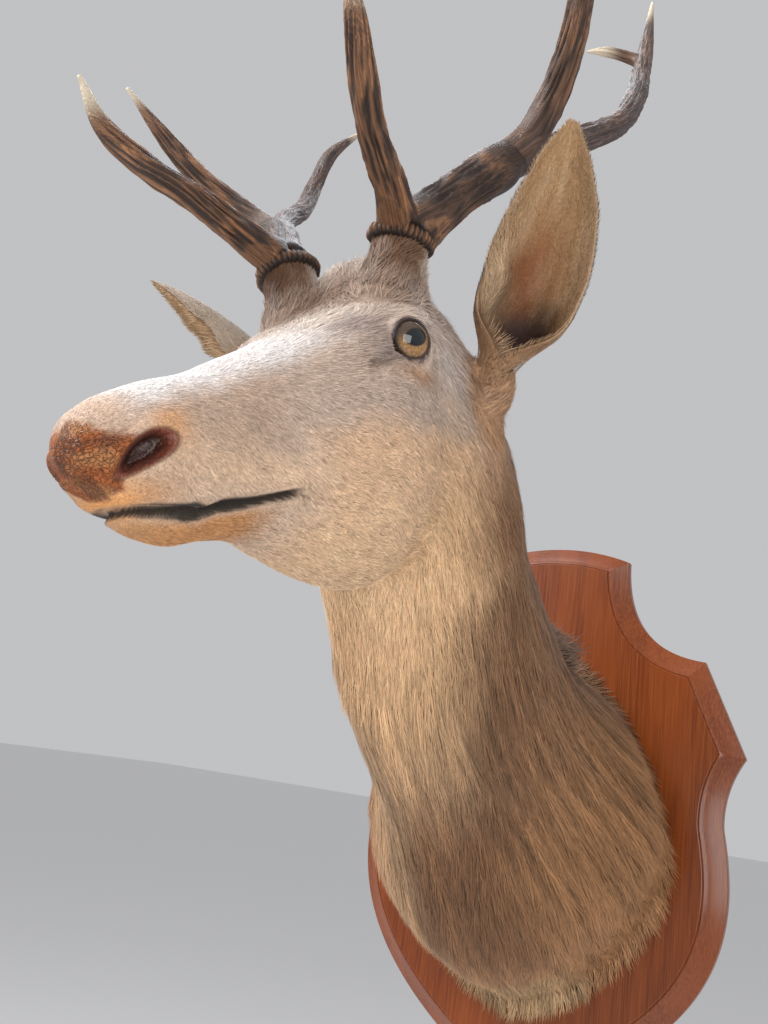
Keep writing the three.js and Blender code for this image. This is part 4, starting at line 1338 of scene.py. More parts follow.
def bone_colour(points, side, place):
    """Dark grooves, orange-brown ridges where the antler was rubbed, slate rear beam, ivory tips."""
    height, to_tip, which, _ = place
    f, l, u = in_head(points).T
    patches = COARSE(f / 26 + 5 * which, u / 30 + l / 34)
    rubbed = 0.45 + 0.5 * patches + 0.45 * (which == 1)
    from_fork = np.linalg.norm(points - side_point(BEAM_FORK, side), axis=1)
    centre, axis = burr_frame(side)
    rise = (points - centre) @ axis
    out = np.linalg.norm(points - centre - rise[:, None] * axis, axis=1)
    on_burr = ease(8.5, 6.5, np.abs(rise) / MM)
    return mix(
        np.tile(BONE["brown"], (len(points), 1)),
        ("ridge", ease(-0.6, 0.6, height / MM) * rubbed),
        ("groove", ease(-0.1, -1.0, height / MM) * 0.7 * ease(22, 45, from_fork / MM)),
        ("slate", 0.55 * (which == 3) * ease(-150, -230, f)),
        ("groove", 0.6 * (which == 0) * ease(0.3, -0.4, patches)),
        ("ivory", ease(42, 10, to_tip / MM + 8 * patches)),
        ("groove", on_burr),
        ("ridge", 0.6 * on_burr * ease(0.93, 1.04, out / BURR_RADIUS)),
        table=BONE,
    )


def antler(side, side_name):
    """All limbs and the burr of one antler fused, eased at the forks and painted."""
    shells = [burr_shell(side)]
    for number, (branch, pearls) in enumerate(antler_branches(side)):
        shells.append(antler_limb(branch, side, 40 + 5 * number + (side > 0), pearls))
    points, faces = fuse("antler_shell", shells)
    weight = sum(plateau(points, side_point(fork, side), reach) for fork, reach in FORKS)
    centre, axis = burr_frame(side)
    above = (points - centre) @ axis
    points = relax(points, faces, np.clip(weight, 0, 1) * 0.6 * ease(0.006, 0.011, above), 26)
    place = antler_place(points, side)
    piece = make_object(f"antler_{side_name}", points, faces, bone_colour(points, side, place))
    paint(piece.data, place[3], "Grain")
    nodes = ["burr", "beam", "brow_tine", "trez_tine", "rear_beam"] + (["rear_tine"] if side > 0 else [])
    enrol(piece, "antler", *[f"antler_{side_name}_{node}" for node in nodes])
    print(piece.name, len(faces), "triangles")
    return piece


antlers = [antler(side, side_name) for side, side_name in SIDES.items()]

# %% [markdown]
# ## The shield
#
# The board is a routed shield of reddish hardwood: a flat face, a fine cut line, and a wide bevel
# that falls to a thin rim. Its outline is a path of lines and curves, mirrored; the profile is a
# list of insets and depths, and each profile step is the outline moved inwards by its mitre.

# %% Board
BOARD_THICK = 22.0
FACE_SHARES = (0.75, 0.45, 0.15)
BACK_SHARE = 0.3
# Inset from the outline and depth from the back, in millimetres.
BOARD_PROFILE = [
    (0.6, 0.0), (0.0, 0.6), (0.0, 8.2), (0.35, 8.8), (1.0, 9.15), (6.0, 11.7), (11.0, 14.7),
    (16.0, 18.1), (19.6, 20.9), (20.3, 21.1), (20.8, 20.5), (21.4, 20.5), (21.9, 21.6), (22.6, 22.0),
]


def bend(points, count):
    """A curve of Bezier form through its first and last point, as the sum of Bernstein weights."""
    points, t = np.array(points, float), np.linspace(0, 1, count)[:, None]
    while len(points.shape) == 2:
        points = points[:, None] + 0 * t[None]
    while len(points) > 1:
        points = points[:-1] * (1 - t) + points[1:] * t
    return points[0]


def shield_stretches():
    """Stretches between corners, clockwise from the top: the right half, then the left mirrored."""
    flank = np.vstack([
        bend([(225, 69), (203, 35), (205, -3)], 24)[:-1],
        bend([(205, -3), (225, -100), (215, -205), (0, -300)], 80),
    ])
    crown = bend([(0, 294), (50, 294), (91, 277)], 30)
    right = [bend([(91, 277), (92, 175), (181, 166)], 44), bend([(181, 166), (225, 69)], 24), flank]
    left = [part[::-1] * [-1, 1] for part in right[::-1]]
    return [np.vstack([crown[::-1] * [-1, 1], crown[1:]])] + right + left


def sharp_offset(part, before, after, distance):
    """One stretch of the outline moved inwards, cut where it meets the lines that halve its two
    corners, and spaced evenly again. Ahead and behind say how far points lie past those lines."""
    heading = unit(np.gradient(part, axis=0))
    moved = part + np.stack([heading[:, 1], -heading[:, 0]], 1) * distance
    length = np.concatenate([[0], np.cumsum(np.linalg.norm(np.diff(part, axis=0), axis=1))])
    ahead = (moved - part[0]) @ (unit(before) + unit(heading[0]))
    behind = (moved - part[-1]) @ (unit(heading[-1]) + unit(after))
    half = len(part) // 2
    first = np.interp(0.0, ahead[:half], length[:half])
    last = np.interp(0.0, behind[half:], length[half:])
    even = np.linspace(first, last, len(part))
    return np.stack([np.interp(even, length, moved[:, k]) for k in (0, 1)], 1)[:-1]


def inset(stretches, distance):
    """The whole outline moved inwards, stretch by stretch, so that its corners stay sharp."""
    count = len(stretches)
    ends = [(part[-1] - part[-2], part[1] - part[0]) for part in stretches]
    return np.vstack([sharp_offset(part, ends[k - 1][0], ends[(k + 1) % count][1], distance)
                      for k, part in enumerate(stretches)])


def board_shell():
    """Profile steps as rings, then the face drawn in towards its middle."""
    stretches = shield_stretches()
    rings = [(inset(stretches, step), depth) for step, depth in BOARD_PROFILE]
    face = rings[-1][0]
    rings += [(face * share, BOARD_THICK) for share in FACE_SHARES]
    rings = [(rings[0][0] * BACK_SHARE, 0.0)] + rings
    steps = [np.insert(ring, 1, -depth, axis=1) for ring, depth in rings]
    return closed_tube(np.array(steps) * MM)


board = make_object("shield", *board_shell())
board.data.set_sharp_from_angle(angle=np.radians(24))
enrol(board, "wood", "board")
print("board:", len(board.data.polygons), "triangles")

# %% [markdown]
# ## Finishes
#
# Each finish is a small network of nodes. To read it like a formula, one class wraps a socket and
# turns arithmetic on it into Math nodes; colours go through Mix nodes, and any other node comes
# from one method that takes its type, settings and inputs.

# %% Shader tools
class Value:
    """A number that varies over a surface; arithmetic on it adds Math nodes."""

    def __init__(self, finish, socket):
        self.finish, self.socket = finish, socket

    def math(self, operation, *others):
        return self.finish.node("ShaderNodeMath", {"operation": operation}, dict(enumerate((self, *others))))

    def __add__(self, other):
        return self.math("ADD", other)

    def __mul__(self, other):
        return self.math("MULTIPLY", other)

    def __sub__(self, other):
        return self.math("SUBTRACT", other)

    def __rsub__(self, other):
        return self.finish.node("ShaderNodeMath", {"operation": "SUBTRACT"}, {0: other, 1: self})

    __radd__, __rmul__ = __add__, __mul__

    def step(self, low, high):
        """0 below low, 1 above high, smooth between."""
        inputs = {"Value": self, "From Min": low, "From Max": high}
        return self.finish.node("ShaderNodeMapRange", {"interpolation_type": "SMOOTHSTEP"}, inputs)


class Finish:
    """A node material made for one or more pieces."""

    def __init__(self, name):
        self.material = bpy.data.materials.new(name)
        self.material.use_nodes = True
        self.tree = self.material.node_tree
        self.shader = self.tree.nodes["Principled BSDF"]

    def node(self, kind, settings=None, inputs=None, output=0):
        """Adds a node, sets its settings, then its inputs, and wraps one output."""
        node = self.tree.nodes.new(kind)
        for name, value in (settings or {}).items():
            setattr(node, name, value)
        for name, value in (inputs or {}).items():
            self.put(node.inputs[name], value)
        return Value(self, node.outputs[output])

    def put(self, socket, value):
        """Links a Value or sets a constant."""
        if isinstance(value, Value):
            self.tree.links.new(value.socket, socket)
        elif socket.type == "RGBA" and len(value) == 3:
            socket.default_value = (*value, 1)
        else:
            socket.default_value = value

    def mix(self, factor, a, b, how="MIX"):
        """Colour a moved towards colour b."""
        settings = {"data_type": "RGBA", "blend_type": how, "clamp_factor": True}
        return self.node("ShaderNodeMix", settings, {0: factor, 6: a, 7: b}, 2)

    def where(self):
        """Object coordinates."""
        return self.node("ShaderNodeTexCoord", None, None, "Object")

    def place(self, scale=(1, 1, 1), turn=(0, 0, 0)):
        """Object coordinates through a Mapping node."""
        return self.node("ShaderNodeMapping", None, {0: self.where(), "Scale": scale, "Rotation": turn})

    def noise(self, where, scale, detail=3.0, rough=0.5, distortion=0.0):
        """Noise from 0 to 1 at a place."""
        inputs = {"Vector": where, "Scale": scale, "Detail": detail, "Roughness": rough}
        return self.node("ShaderNodeTexNoise", None, {**inputs, "Distortion": distortion})

    def specks(self, scale, detail=3.0, rough=0.5):
        """Noise as fine as the scale, which is one number or one for each axis."""
        scales = [float(part) for part in np.broadcast_to(scale, 3)]
        return self.noise(self.place(scales), 1.0, detail, rough)

    def vector(self, operation, a, b, output=0):
        """Vector maths on two vectors or colours."""
        return self.node("ShaderNodeVectorMath", {"operation": operation}, {0: a, 1: b}, output)

    def scaled(self, colour, factor):
        """A colour times a number."""
        return self.node("ShaderNodeVectorMath", {"operation": "SCALE"}, {0: colour, "Scale": factor})

    def attribute(self, name):
        """A colour attribute painted on the mesh."""
        return self.node("ShaderNodeVertexColor", {"layer_name": name})

    def bump(self, height, strength, distance):
        """Normals tilted by a height."""
        inputs = {"Height": height, "Strength": strength, "Distance": distance}
        return self.node("ShaderNodeBump", None, inputs)

    def shade(self, **inputs):
        """Sets the shader's inputs; underscores stand for spaces."""
        for name, value in inputs.items():
            self.put(self.shader.inputs[name.replace("_", " ")], value)

    def wear(self, *pieces):
        """Gives the finish to pieces."""
        for piece in pieces:
            piece.data.materials.clear()
            piece.data.materials.append(self.material)


FACE_LIE = np.radians(35)


def lie_turn():
    """Euler angles that turn the frame so that x runs with the hair of the cheek, back and down."""
    backward = HEAD[0] * np.cos(FACE_LIE) + HEAD[2] * np.sin(FACE_LIE)
    rows = np.stack([backward, HEAD[1], np.cross(backward, HEAD[1])])
    return Matrix(rows.tolist()).to_euler("XYZ")


# %% [markdown]
# ## Fur, skin, glass, bone and wood
#
# Short fur is a painted colour broken by fine streaks that run with the coat, a little bump and a
# faint sheen. Glass is smooth with a clear coat. Bone takes its grooves from the mesh, and the wood
# has a vertical grain under satin varnish.

# %% Skin and fur finishes
FUR_SHINE = {"Specular_IOR_Level": 0.3, "Sheen_Weight": 0.04, "Sheen_Roughness": 0.4}
CRACK_DARK = (0.05, 0.02, 0.011)
skin_finish = Finish("short_coat")
marking = skin_finish.attribute("Marking")
strands = skin_finish.noise(skin_finish.place((75, 700, 700), lie_turn()), 1.0, 3.0, 0.6)
fine = skin_finish.specks(900, 2.0)
painted = skin_finish.scaled(marking, (strands - 0.5) * 1.5 + (fine - 0.5) * 0.15 + 0.97)
masks = skin_finish.node("ShaderNodeSeparateColor", None, {0: skin_finish.attribute("Bare")})
pad, wet = masks, Value(skin_finish, masks.socket.node.outputs[1])
crack_place = skin_finish.place((420, 420, 420))
crack_shift = skin_finish.node("ShaderNodeTexNoise", None, {"Vector": crack_place, "Scale": 0.6}, 1)
crack_inputs = {"Vector": skin_finish.vector("ADD", crack_place, crack_shift), "Scale": 1.0}
cracks = skin_finish.node("ShaderNodeTexVoronoi", {"feature": "DISTANCE_TO_EDGE"}, crack_inputs)
plates = cracks.step(0.02, 0.16)
painted = skin_finish.mix(pad * 0.5, painted, skin_finish.mix(plates, CRACK_DARK, painted))
wrinkles = skin_finish.specks(260)
skin_relief = strands * (1 - pad) * (1 - wet) + plates * pad * 1.6 + wrinkles * wet * 2.5
skin_finish.shade(
    Base_Color=painted,
    Roughness=0.62 - pad * 0.17 - wet * 0.32,
    Coat_Weight=wet * 0.25,
    Coat_Roughness=0.12,
    Normal=skin_finish.bump(skin_relief, 0.8, 1.4 * MM),
    **FUR_SHINE,
)
skin_finish.wear(skin_object)

fur_finish = Finish("coat_tufts")
flecks = fur_finish.specks(700, 2.0)
tinted = fur_finish.scaled(fur_finish.attribute("Marking"), flecks * 0.3 + 0.85)
fur_finish.shade(Base_Color=tinted, Roughness=0.55, **FUR_SHINE)

# %% Eye finish
PUPIL_LONG, PUPIL_HIGH = 9.2, 6.4
PUPIL_TURN = np.radians(12)
# The third iris colour is a painted shadow of the lid.
IRIS_DARK, IRIS_LIGHT, LID_SHADOW_ON_IRIS = (0.20, 0.095, 0.032), (0.44, 0.24, 0.088), (0.05, 0.035, 0.028)
IRIS_RIM, EYE_GROUND, PUPIL_BLACK = (0.035, 0.02, 0.012), (0.02, 0.012, 0.01), (0.004, 0.008, 0.009)


def eye_finish(side, name):
    """Iris rings from the distance to the look's axis, a painted shadow of the lid over the iris's top, and
    a pupil drawn out sideways.
    """
    centre, look, ahead, above = eye_frame(side)
    glass = Finish(name)
    centred = glass.vector("SUBTRACT", glass.where(), tuple(centre))
    level = np.cos(PUPIL_TURN) * ahead - np.sin(PUPIL_TURN) * above
    upright = np.cross(look, level) * side
    x, y = (glass.vector("DOT_PRODUCT", centred, tuple(way), 1) * (1 / MM) for way in (level, upright))
    disc = (x * x + y * y).math("POWER", 0.5)
    pupil_edge = (x * x * (1 / PUPIL_LONG**2) + y * y * (1 / PUPIL_HIGH**2)).math("POWER", 0.5)
    turn = y.math("ARCTAN2", x)
    ray_place = glass.node("ShaderNodeCombineXYZ", None, {0: turn * 6.0, 1: disc * 0.25})
    rays = glass.noise(ray_place, 2.0, 3.0, 0.6)
    iris = glass.mix(rays.step(0.3, 0.7), IRIS_DARK, IRIS_LIGHT)
    # painted shadow of the upper lid: the iris darker towards its top
    iris = glass.mix((y * -1).step(-3.0, 7.0) * 0.9, iris, LID_SHADOW_ON_IRIS)
    iris = glass.mix(disc.step(11.5, 14.4), iris, IRIS_RIM)
    ground = glass.mix(disc.step(15.0, 16.5), iris, EYE_GROUND)
    colour = glass.mix(pupil_edge.step(1.12, 0.92), ground, PUPIL_BLACK)
    glass.shade(Base_Color=colour, Roughness=0.5, Specular_IOR_Level=0.0, Coat_Weight=1.0,
                Coat_Roughness=0.02, Coat_IOR=1.6)
    return glass


for side, side_name in SIDES.items():
    eye_finish(side, f"glass_{side_name}").wear(eyes[side])
print("eye finishes:", len(eyes))

# %% Bone and wood finishes
STAIN_DEEP, STAIN_BRIGHT = (0.30, 0.29, 0.32), (1.75, 1.6, 1.5)
bone = Finish("antler_bone")
marking = bone.attribute("Marking")
pores = bone.specks(420, 4.0, 0.6)
broad = bone.specks(60)
grain = bone.attribute("Grain")
strands = bone.noise(grain, 900.0, 3.0, 0.6).step(0.36, 0.66)
bundles = bone.noise(grain, 300.0, 2.0, 0.5)
deep = bone.vector("MULTIPLY", marking, STAIN_DEEP)
bright = bone.vector("MULTIPLY", marking, STAIN_BRIGHT)
# Ivory, where the painted green is high, keeps its own colour.
ivory = bone.node("ShaderNodeSeparateColor", None, {0: marking}, 1).step(0.20, 0.36)
stained = bone.mix(ivory, bone.mix(strands * 0.75 + bundles * 0.35, deep, bright), marking)
bone.shade(
    Base_Color=bone.scaled(stained, pores * 0.5 + broad * 0.5 + 0.5),
    Roughness=broad * 0.25 + 0.38,
    Specular_IOR_Level=0.45,
    Normal=bone.bump(pores * 0.4 + strands, 0.8, 0.7 * MM),
)
bone.wear(*antlers)

WOOD_DARK, WOOD_RED = (0.125, 0.023, 0.003), (0.185, 0.037, 0.005)
WOOD_FIBRE, WOOD_PORE = (0.25, 0.060, 0.009), (0.06, 0.014, 0.004)
wood = Finish("varnished_wood")
waves = wood.noise(wood.place((9, 9, 0.9)), 1.6, 3.0, 0.55, 0.6)
rings = (waves * 26.0).math("SINE") * 0.5 + 0.5
fibres = wood.specks((900, 900, 14), 3.0, 0.6)
pore_lines = wood.specks((1500, 1500, 40), 1.0)
ground = wood.mix(rings, WOOD_DARK, WOOD_RED)
ground = wood.mix(fibres.step(0.35, 0.75), ground, WOOD_FIBRE)
ground = wood.mix(pore_lines.step(0.68, 0.78) * 0.55, ground, WOOD_PORE)
wood.shade(
    Base_Color=ground,
    Roughness=fibres * 0.12 + 0.27,
    Specular_IOR_Level=0.35,
    Coat_Weight=0.25,
    Coat_Roughness=0.16,
    Normal=wood.bump(fibres, 0.12, 0.5 * MM),
)
wood.wear(board)
print("finishes:", len(bpy.data.materials))

# %% [markdown]
# ## The coat: tufts that lie along the body
#
# Fur could be particles, but those don't survive as a mesh. So each tuft is a thin closed spindle:
# a root, a three-cornered ring with a ridge on top, and a tip. A quarter of a million of them lie
# along the stag's own flow of hair, tiny on the face and long on the neck, each painted by the same
# markings as the skin, darker at its root and paler at its tip.
#
# To plant them evenly, a grid of the skin knows its points, its normals and the way the hair lies.
# Each cell gets roots in proportion to its area, spread evenly along the running total of areas.
# Each tuft's OFBake patch is 0.003 across, at its root's place on the unwrapped grid.

# %% Planting grids
def planting_grid(points, away, flow, length, width, lift, layers, curl):
    """A grid of points with its normals (cross product of its two slopes, on the side that looks
    away), flow laid into the surface, and the tufts' measures at each point."""
    along, around = np.gradient(points, axis=0), np.gradient(points, axis=1)
    normals = unit(np.cross(along, around))
    normals = normals * np.where((normals * away).sum(-1, keepdims=True) < 0, -1, 1)
    flow = unit(flow - normals * (flow * normals).sum(-1, keepdims=True))
    shape = points.shape[:2]
    measures = np.stack([np.broadcast_to(value, shape) for value in (length, width, lift, layers, curl)], -1)
    return {"points": points, "normals": normals, "flow": flow, "measures": measures}


def sample(values, row, column):
    """Values of a grid between its points: the four neighbours weighted by nearness."""
    i, j = row.astype(int), column.astype(int)
    return between(lambda a, b: values[i + a, j + b], (row - i)[:, None], (column - j)[:, None])


def scatter(grid):
    """Roots as row and column: as many in each cell as layers of tufts need on its area."""
    points, measures = grid["points"], grid["measures"]
    length, width, layers = measures[..., 0], measures[..., 1], measures[..., 3]
    sides = np.cross(points[1:, :-1] - points[:-1, :-1], points[:-1, 1:] - points[:-1, :-1])
    wanted = np.linalg.norm(sides, axis=-1) * (layers / (length * width))[:-1, :-1]
    total = np.cumsum(wanted)
    count = int(total[-1])
    marks = (np.arange(count) + rng.random(count)) / count * total[-1]
    cell = np.minimum(np.searchsorted(total, marks), wanted.size - 1)
    row = cell // wanted.shape[1] + rng.random(count) * 0.999
    column = cell % wanted.shape[1] + rng.random(count) * 0.999
    return row, column


# %% Bare places
LIP_BARE, LID_BARE, NOSTRIL_BARE = 2.8, 2.6 * MM, 1.02
FAR_AWAY = 99.0


def bare(points):
    """True where no tuft may root or point: eyes, nostrils and the gap between the lips."""
    gap, share = mouth_gap(points)
    off = (np.abs(gap) < LIP_BARE) & (share > 0.5)
    for side in (1, -1):
        height, radius, phi = eye_polar(points, side)
        off |= (height > -0.006) & (radius < lid_rim(phi) + LID_BARE)
        off |= nostril_place(points, side)[0] < NOSTRIL_BARE
    return off


def near_opening(points):
    """From 0.2 at the edge of an eye, nostril or mouth to 1 a few millimetres away."""
    gap, share = mouth_gap(points)
    room = np.where(share > 0.5, np.abs(gap) - 2.5, FAR_AWAY)
    for side in (1, -1):
        height, radius, phi = eye_polar(points, side)
        room = np.minimum(room, np.where(height > -0.01, (radius - lid_rim(phi)) / MM - 1.5, FAR_AWAY))
        room = np.minimum(room, (nostril_place(points, side)[0] - 1) * 7.0)
    return 0.2 + 0.8 * ease(0.0, 8.0, room)


# %% Tufts
PATCH = 0.003
TUFT_FRONT = -(BOARD_THICK * MM + 1.2 * MM)
# One spindle: root 0, left 1, right 2, ridge 3, tip 4. The two faces without the ridge are its
# underside.
SPINDLE = np.array([(0, 2, 3), (0, 3, 1), (0, 1, 2), (4, 3, 2), (4, 1, 3), (4, 2, 1)])
FACE_SIDES = np.array([1.0, 1.0, -1.0, 1.0, 1.0, -1.0])
# For each of its five points: the shade, the lean of the normal, and the place on its patch.
SPINDLE_SHADES = np.array([0.62, 0.96, 0.96, 1.0, 1.12])
SPINDLE_LEANS = np.array([0.0, -0.45, 0.45, 0.0, 0.0])[None, :, None]
BELLY = 0.42
SPINDLE_PATCH = np.array([[0.5, 0.0], [0.0, BELLY], [1.0, BELLY], [0.5, BELLY], [0.5, 1.0]])
OUT_OF_WALL = np.array([1, 0, 1])


def shade_tufts(piece, shading):
    """Corner normals: the skin's own on a tuft's upper faces, and their reverse underneath, so
    that fur is lit like the body it lies on."""
    mesh = piece.data
    corner = np.empty(len(mesh.loops), np.int32)
    mesh.loops.foreach_get("vertex_index", corner)
    side = np.tile(np.repeat(FACE_SIDES, 3), len(mesh.polygons) // len(SPINDLE))
    mesh.normals_split_custom_set(shading[corner] * side[:, None])


def tufts(name, grid, slot, tone=0.13, streaks=0.2, clump=(9, 9), strands=(20, 120), seed=0):
    """Plants a grid with spindles and makes them one piece."""
    row, column = scatter(grid)
    root = sample(grid["points"], row, column)
    normal = unit(sample(grid["normals"], row, column))
    flow = unit(sample(grid["flow"], row, column))
    length, width, lift, _, curl = sample(grid["measures"], row, column).T
    rows, columns = grid["points"].shape[:2]
    bend, rise = Field(seed + 100, 256), Field(seed + 101, 256)
    lock_row, lock_column = row / rows * clump[0], column / columns * clump[1]
    broad, small = bend(lock_row, lock_column), bend(lock_row * 3.1 + 7, lock_column * 3.1)
    swirl = curl * (1.1 * broad + 0.8 * small + 0.45 * rng.normal(size=len(root)))
    across = np.cross(normal, flow)
    flow = unit(flow * np.cos(swirl)[:, None] + across * np.sin(swirl)[:, None])
    across = np.cross(normal, flow)
    length = length * (0.75 + 0.5 * rng.random(len(root)))
    room = (TUFT_FRONT - root[:, 1]) / length
    excess = np.maximum(flow[:, 1] - room, 0)[:, None]
    spread = unit(normal * OUT_OF_WALL + [0, 0, -0.7])
    wallward = np.minimum(flow[:, 1:2], room[:, None]) * [0, 1, 0]
    flow = unit(flow * OUT_OF_WALL + wallward + spread * excess * 0.45)
    normal = unit(normal - flow * (normal * flow).sum(1, keepdims=True) - [0, 0.6, 0] * excess)
    across = unit(np.cross(normal, flow))
    lift = lift * (0.55 + 0.5 * rng.random(len(root)) + 0.45 * rise(lock_row * 2 + 3, lock_column * 2))
    turn_in = curl * rng.normal(size=len(root)) * 0.35

    def centre(s):
        """Path of a tuft: forward along its lie, up on a flattening rise, aside with the curl."""
        up = length * lift * (1.6 * s - 0.6 * s**2) - 0.25 * MM * (s == 0)
        aside = turn_in * length * s**2
        return root + flow * (length * s)[:, None] + normal * up[:, None] + across * aside[:, None]

    middle, half = centre(BELLY), width[:, None]
    ring = [middle - across * half, middle + across * half, middle + normal * (0.55 * half)]
    points = np.stack([centre(0.0), *ring, centre(1.0)], 1)
    points[..., 1] = np.minimum(points[..., 1], TUFT_FRONT)
    keep = ~(bare(root) | bare(points[:, -1]) | bare(middle))
    strand_row, strand_column = row / rows * strands[0], column / columns * strands[1]
    drift = STREAKS(strand_row, strand_column) + 0.6 * STREAKS(strand_row * 1.7 + 50, strand_column * 2.6)
    tones = 1 + tone * rng.normal(size=len(root)) + streaks * drift
    shades = np.clip(tones, 0.35, 1.7)[:, None] * SPINDLE_SHADES
    colours = coat_colour(root)[:, None] * shades[:, :, None]
    turned = 0.16 * rng.normal(size=(len(root), 1, 1))
    shading = unit(normal[:, None] + across[:, None] * (SPINDLE_LEANS + turned))
    place = np.stack([column / (columns - 1), row / (rows - 1)], 1) * (1 - PATCH)
    uvs = place[:, None] + PATCH * SPINDLE_PATCH
    count = keep.sum()
    faces = (np.arange(count) * points.shape[1])[:, None, None] + SPINDLE
    points, colours, uvs, shading = (
        part[keep].reshape(-1, part.shape[-1]) for part in (points, colours, uvs, shading)
    )
    piece = make_object(name, points, faces.reshape(-1, 3), colours, uvs)
    shade_tufts(piece, shading)
    fur_finish.wear(piece)
    enrol(piece, slot)
    print(name, count, "tufts", len(piece.data.polygons), "triangles")


# %% Coat of the body
TUFT_STOPS = [0, 2, 3.5, 6, 9, 11, 12.5, 14, 15.5, BODY_END]
TUFT_LENGTHS = np.array([1.6, 2.6, 4.6, 6.5, 8.0, 12, 22, 34, 38, 22]) * MM
TUFT_WIDTHS = np.array([0.22, 0.25, 0.28, 0.30, 0.31, 0.31, 0.31, 0.33, 0.37, 0.44]) * MM
TUFT_LIFTS = [0.08, 0.08, 0.07, 0.07, 0.08, 0.11, 0.11, 0.10, 0.12, 0.2]
TUFT_LAYERS = [0.52, 0.70, 0.95, 1.06, 1.1, 1.4, 2.0, 2.9, 3.0, 2.6]
TUFT_CURLS = [0.3, 0.25, 0.18, 0.14, 0.15, 0.2, 0.14, 0.12, 0.14, 0.2]
TUFT_TABLES = (TUFT_LENGTHS, TUFT_WIDTHS, TUFT_LIFTS, TUFT_LAYERS, TUFT_CURLS)
COAT_GRID = 260
CROWN_LENGTH = 6 * MM
# Section positions, angles in degrees, tone, streaks, clumps and strands of each patch.
COAT_PATCHES = {
    "coat_muzzle": ((0.15, 5.0), (-90, 270), 0.20, 0.12, (8, 12), (30, 160)),
    "coat_face_left": ((5.0, 9.5), (-90, 90), 0.21, 0.14, (12, 12), (24, 90)),
    "coat_face_right": ((5.0, 9.5), (90, 270), 0.21, 0.14, (12, 12), (24, 90)),
    "coat_poll_left": ((9.5, 12.6), (-90, 90), 0.17, 0.16, (12, 14), (9, 90)),
    "coat_poll_right": ((9.5, 12.6), (90, 270), 0.17, 0.16, (12, 14), (9, 90)),
    "coat_neck_left": ((12.6, 14.6), (-90, 90), 0.15, 0.32, (4, 18), (3.5, 110)),
    "coat_neck_right": ((12.6, 14.6), (90, 270), 0.15, 0.32, (4, 18), (3.5, 110)),
    "coat_breast_left": ((14.6, BODY_END), (-90, 90), 0.16, 0.34, (5, 22), (4, 130)),
    "coat_breast_right": ((14.6, BODY_END), (90, 270), 0.16, 0.34, (5, 22), (4, 130)),
}


def body_coat(name, ends, angles, tone, streaks, clump, strands, seed):
    """Tufts on a patch of the body between two section positions and two angles. On the head's
    sides the hair lies back and down; on the neck its own weight draws it down."""
    t = np.linspace(*ends, COAT_GRID)[:, None]
    angle = np.radians(np.linspace(*angles, COAT_GRID))[None]
    points, along, outward = skin(t, angle)
    points, moved = settle(points)
    weight = 0.25 * ease(12.2, 14.5, t) * ease(17.6, 16.4, t) + 0 * angle
    cheek = 0.75 * ease(1.5, 3.5, t) * ease(11.8, 10.2, t) * np.cos(angle) ** 2
    drop = np.array([0, 0, -1.0]) * weight[..., None] - HEAD[2] * cheek[..., None]
    length, width, lift, layers, curl = (np.interp(t, TUFT_STOPS, table) for table in TUFT_TABLES)
    f, _, u = np.moveaxis(in_head(points), -1, 0)
    crown = ease(8, 30, u) * ease(80, 40, f) * ease(12.4, 11.5, t)
    length = length * near_opening(points) + CROWN_LENGTH * crown
    layers = layers * np.where((t > 12) | (u < -60), 1.0, ease(8 * MM, 5 * MM, moved))
    grid = planting_grid(points, outward, along + drop, length, width, lift + 0.08 * crown, layers,
                         curl + 0.35 * crown)
    tufts(name, grid, "coat", tone, streaks, clump, strands, seed)


for seed, (name, patch) in enumerate(COAT_PATCHES.items(), 1):
    body_coat(name, *patch, seed)


# %% Throat and nape
def throat_coat():
    """Locks on a net of their own from the jaw to the neck, so that one lie turns into the other."""
    share = np.linspace(0, 1, 120)[:, None]
    points, away = throat_net(share, np.radians(np.linspace(-200, 20, 220))[None])
    points = settle(points)[0]
    length = np.interp(share, [0, 0.5, 1], [9, 16, 26]) * MM
    layers = 1.15 * ease(0, 0.35, share) * ease(1, 0.75, share)
    flow = unit(np.gradient(points, axis=0))
    grid = planting_grid(points, away, flow, length, 0.31 * MM, 0.16, layers, 0.16)
    tufts("coat_throat", grid, "coat", tone=0.16, streaks=0.22, clump=(8, 14), strands=(6, 120), seed=14)


def nape_tuft():
    """A small dark tuft that stands off the nape beside the board."""
    t = np.linspace(14.62, 15.1, 30)[:, None]
    angle = np.radians(np.linspace(34, 54, 30))[None]
    points, along, outward = skin(t, angle)
    middle = bell(t, 14.86, 0.2) * bell(np.degrees(angle), 44, 9)
    grid = planting_grid(points, outward, along * 0.5 + [0.25, 0, 0.5], (12 + 22 * middle) * MM, 0.45 * MM,
                         0.35 + 0.65 * middle, 5.0 * middle, 0.3)
    tufts("coat_nape_tuft", grid, "coat", tone=0.15, clump=(3, 3), seed=12)


throat_coat()
nape_tuft()

# %% [markdown]
# ## Fur of the ears and pedicles
#
# Ears carry short fur on the back, a fringe along both rims that leans outwards, and longer pale
# hairs that spring from the front fold and hang over the dark hollow. The pedicles wear wavy locks
# that climb to the burr, and the mound under each ear has orange fur that climbs to its root.

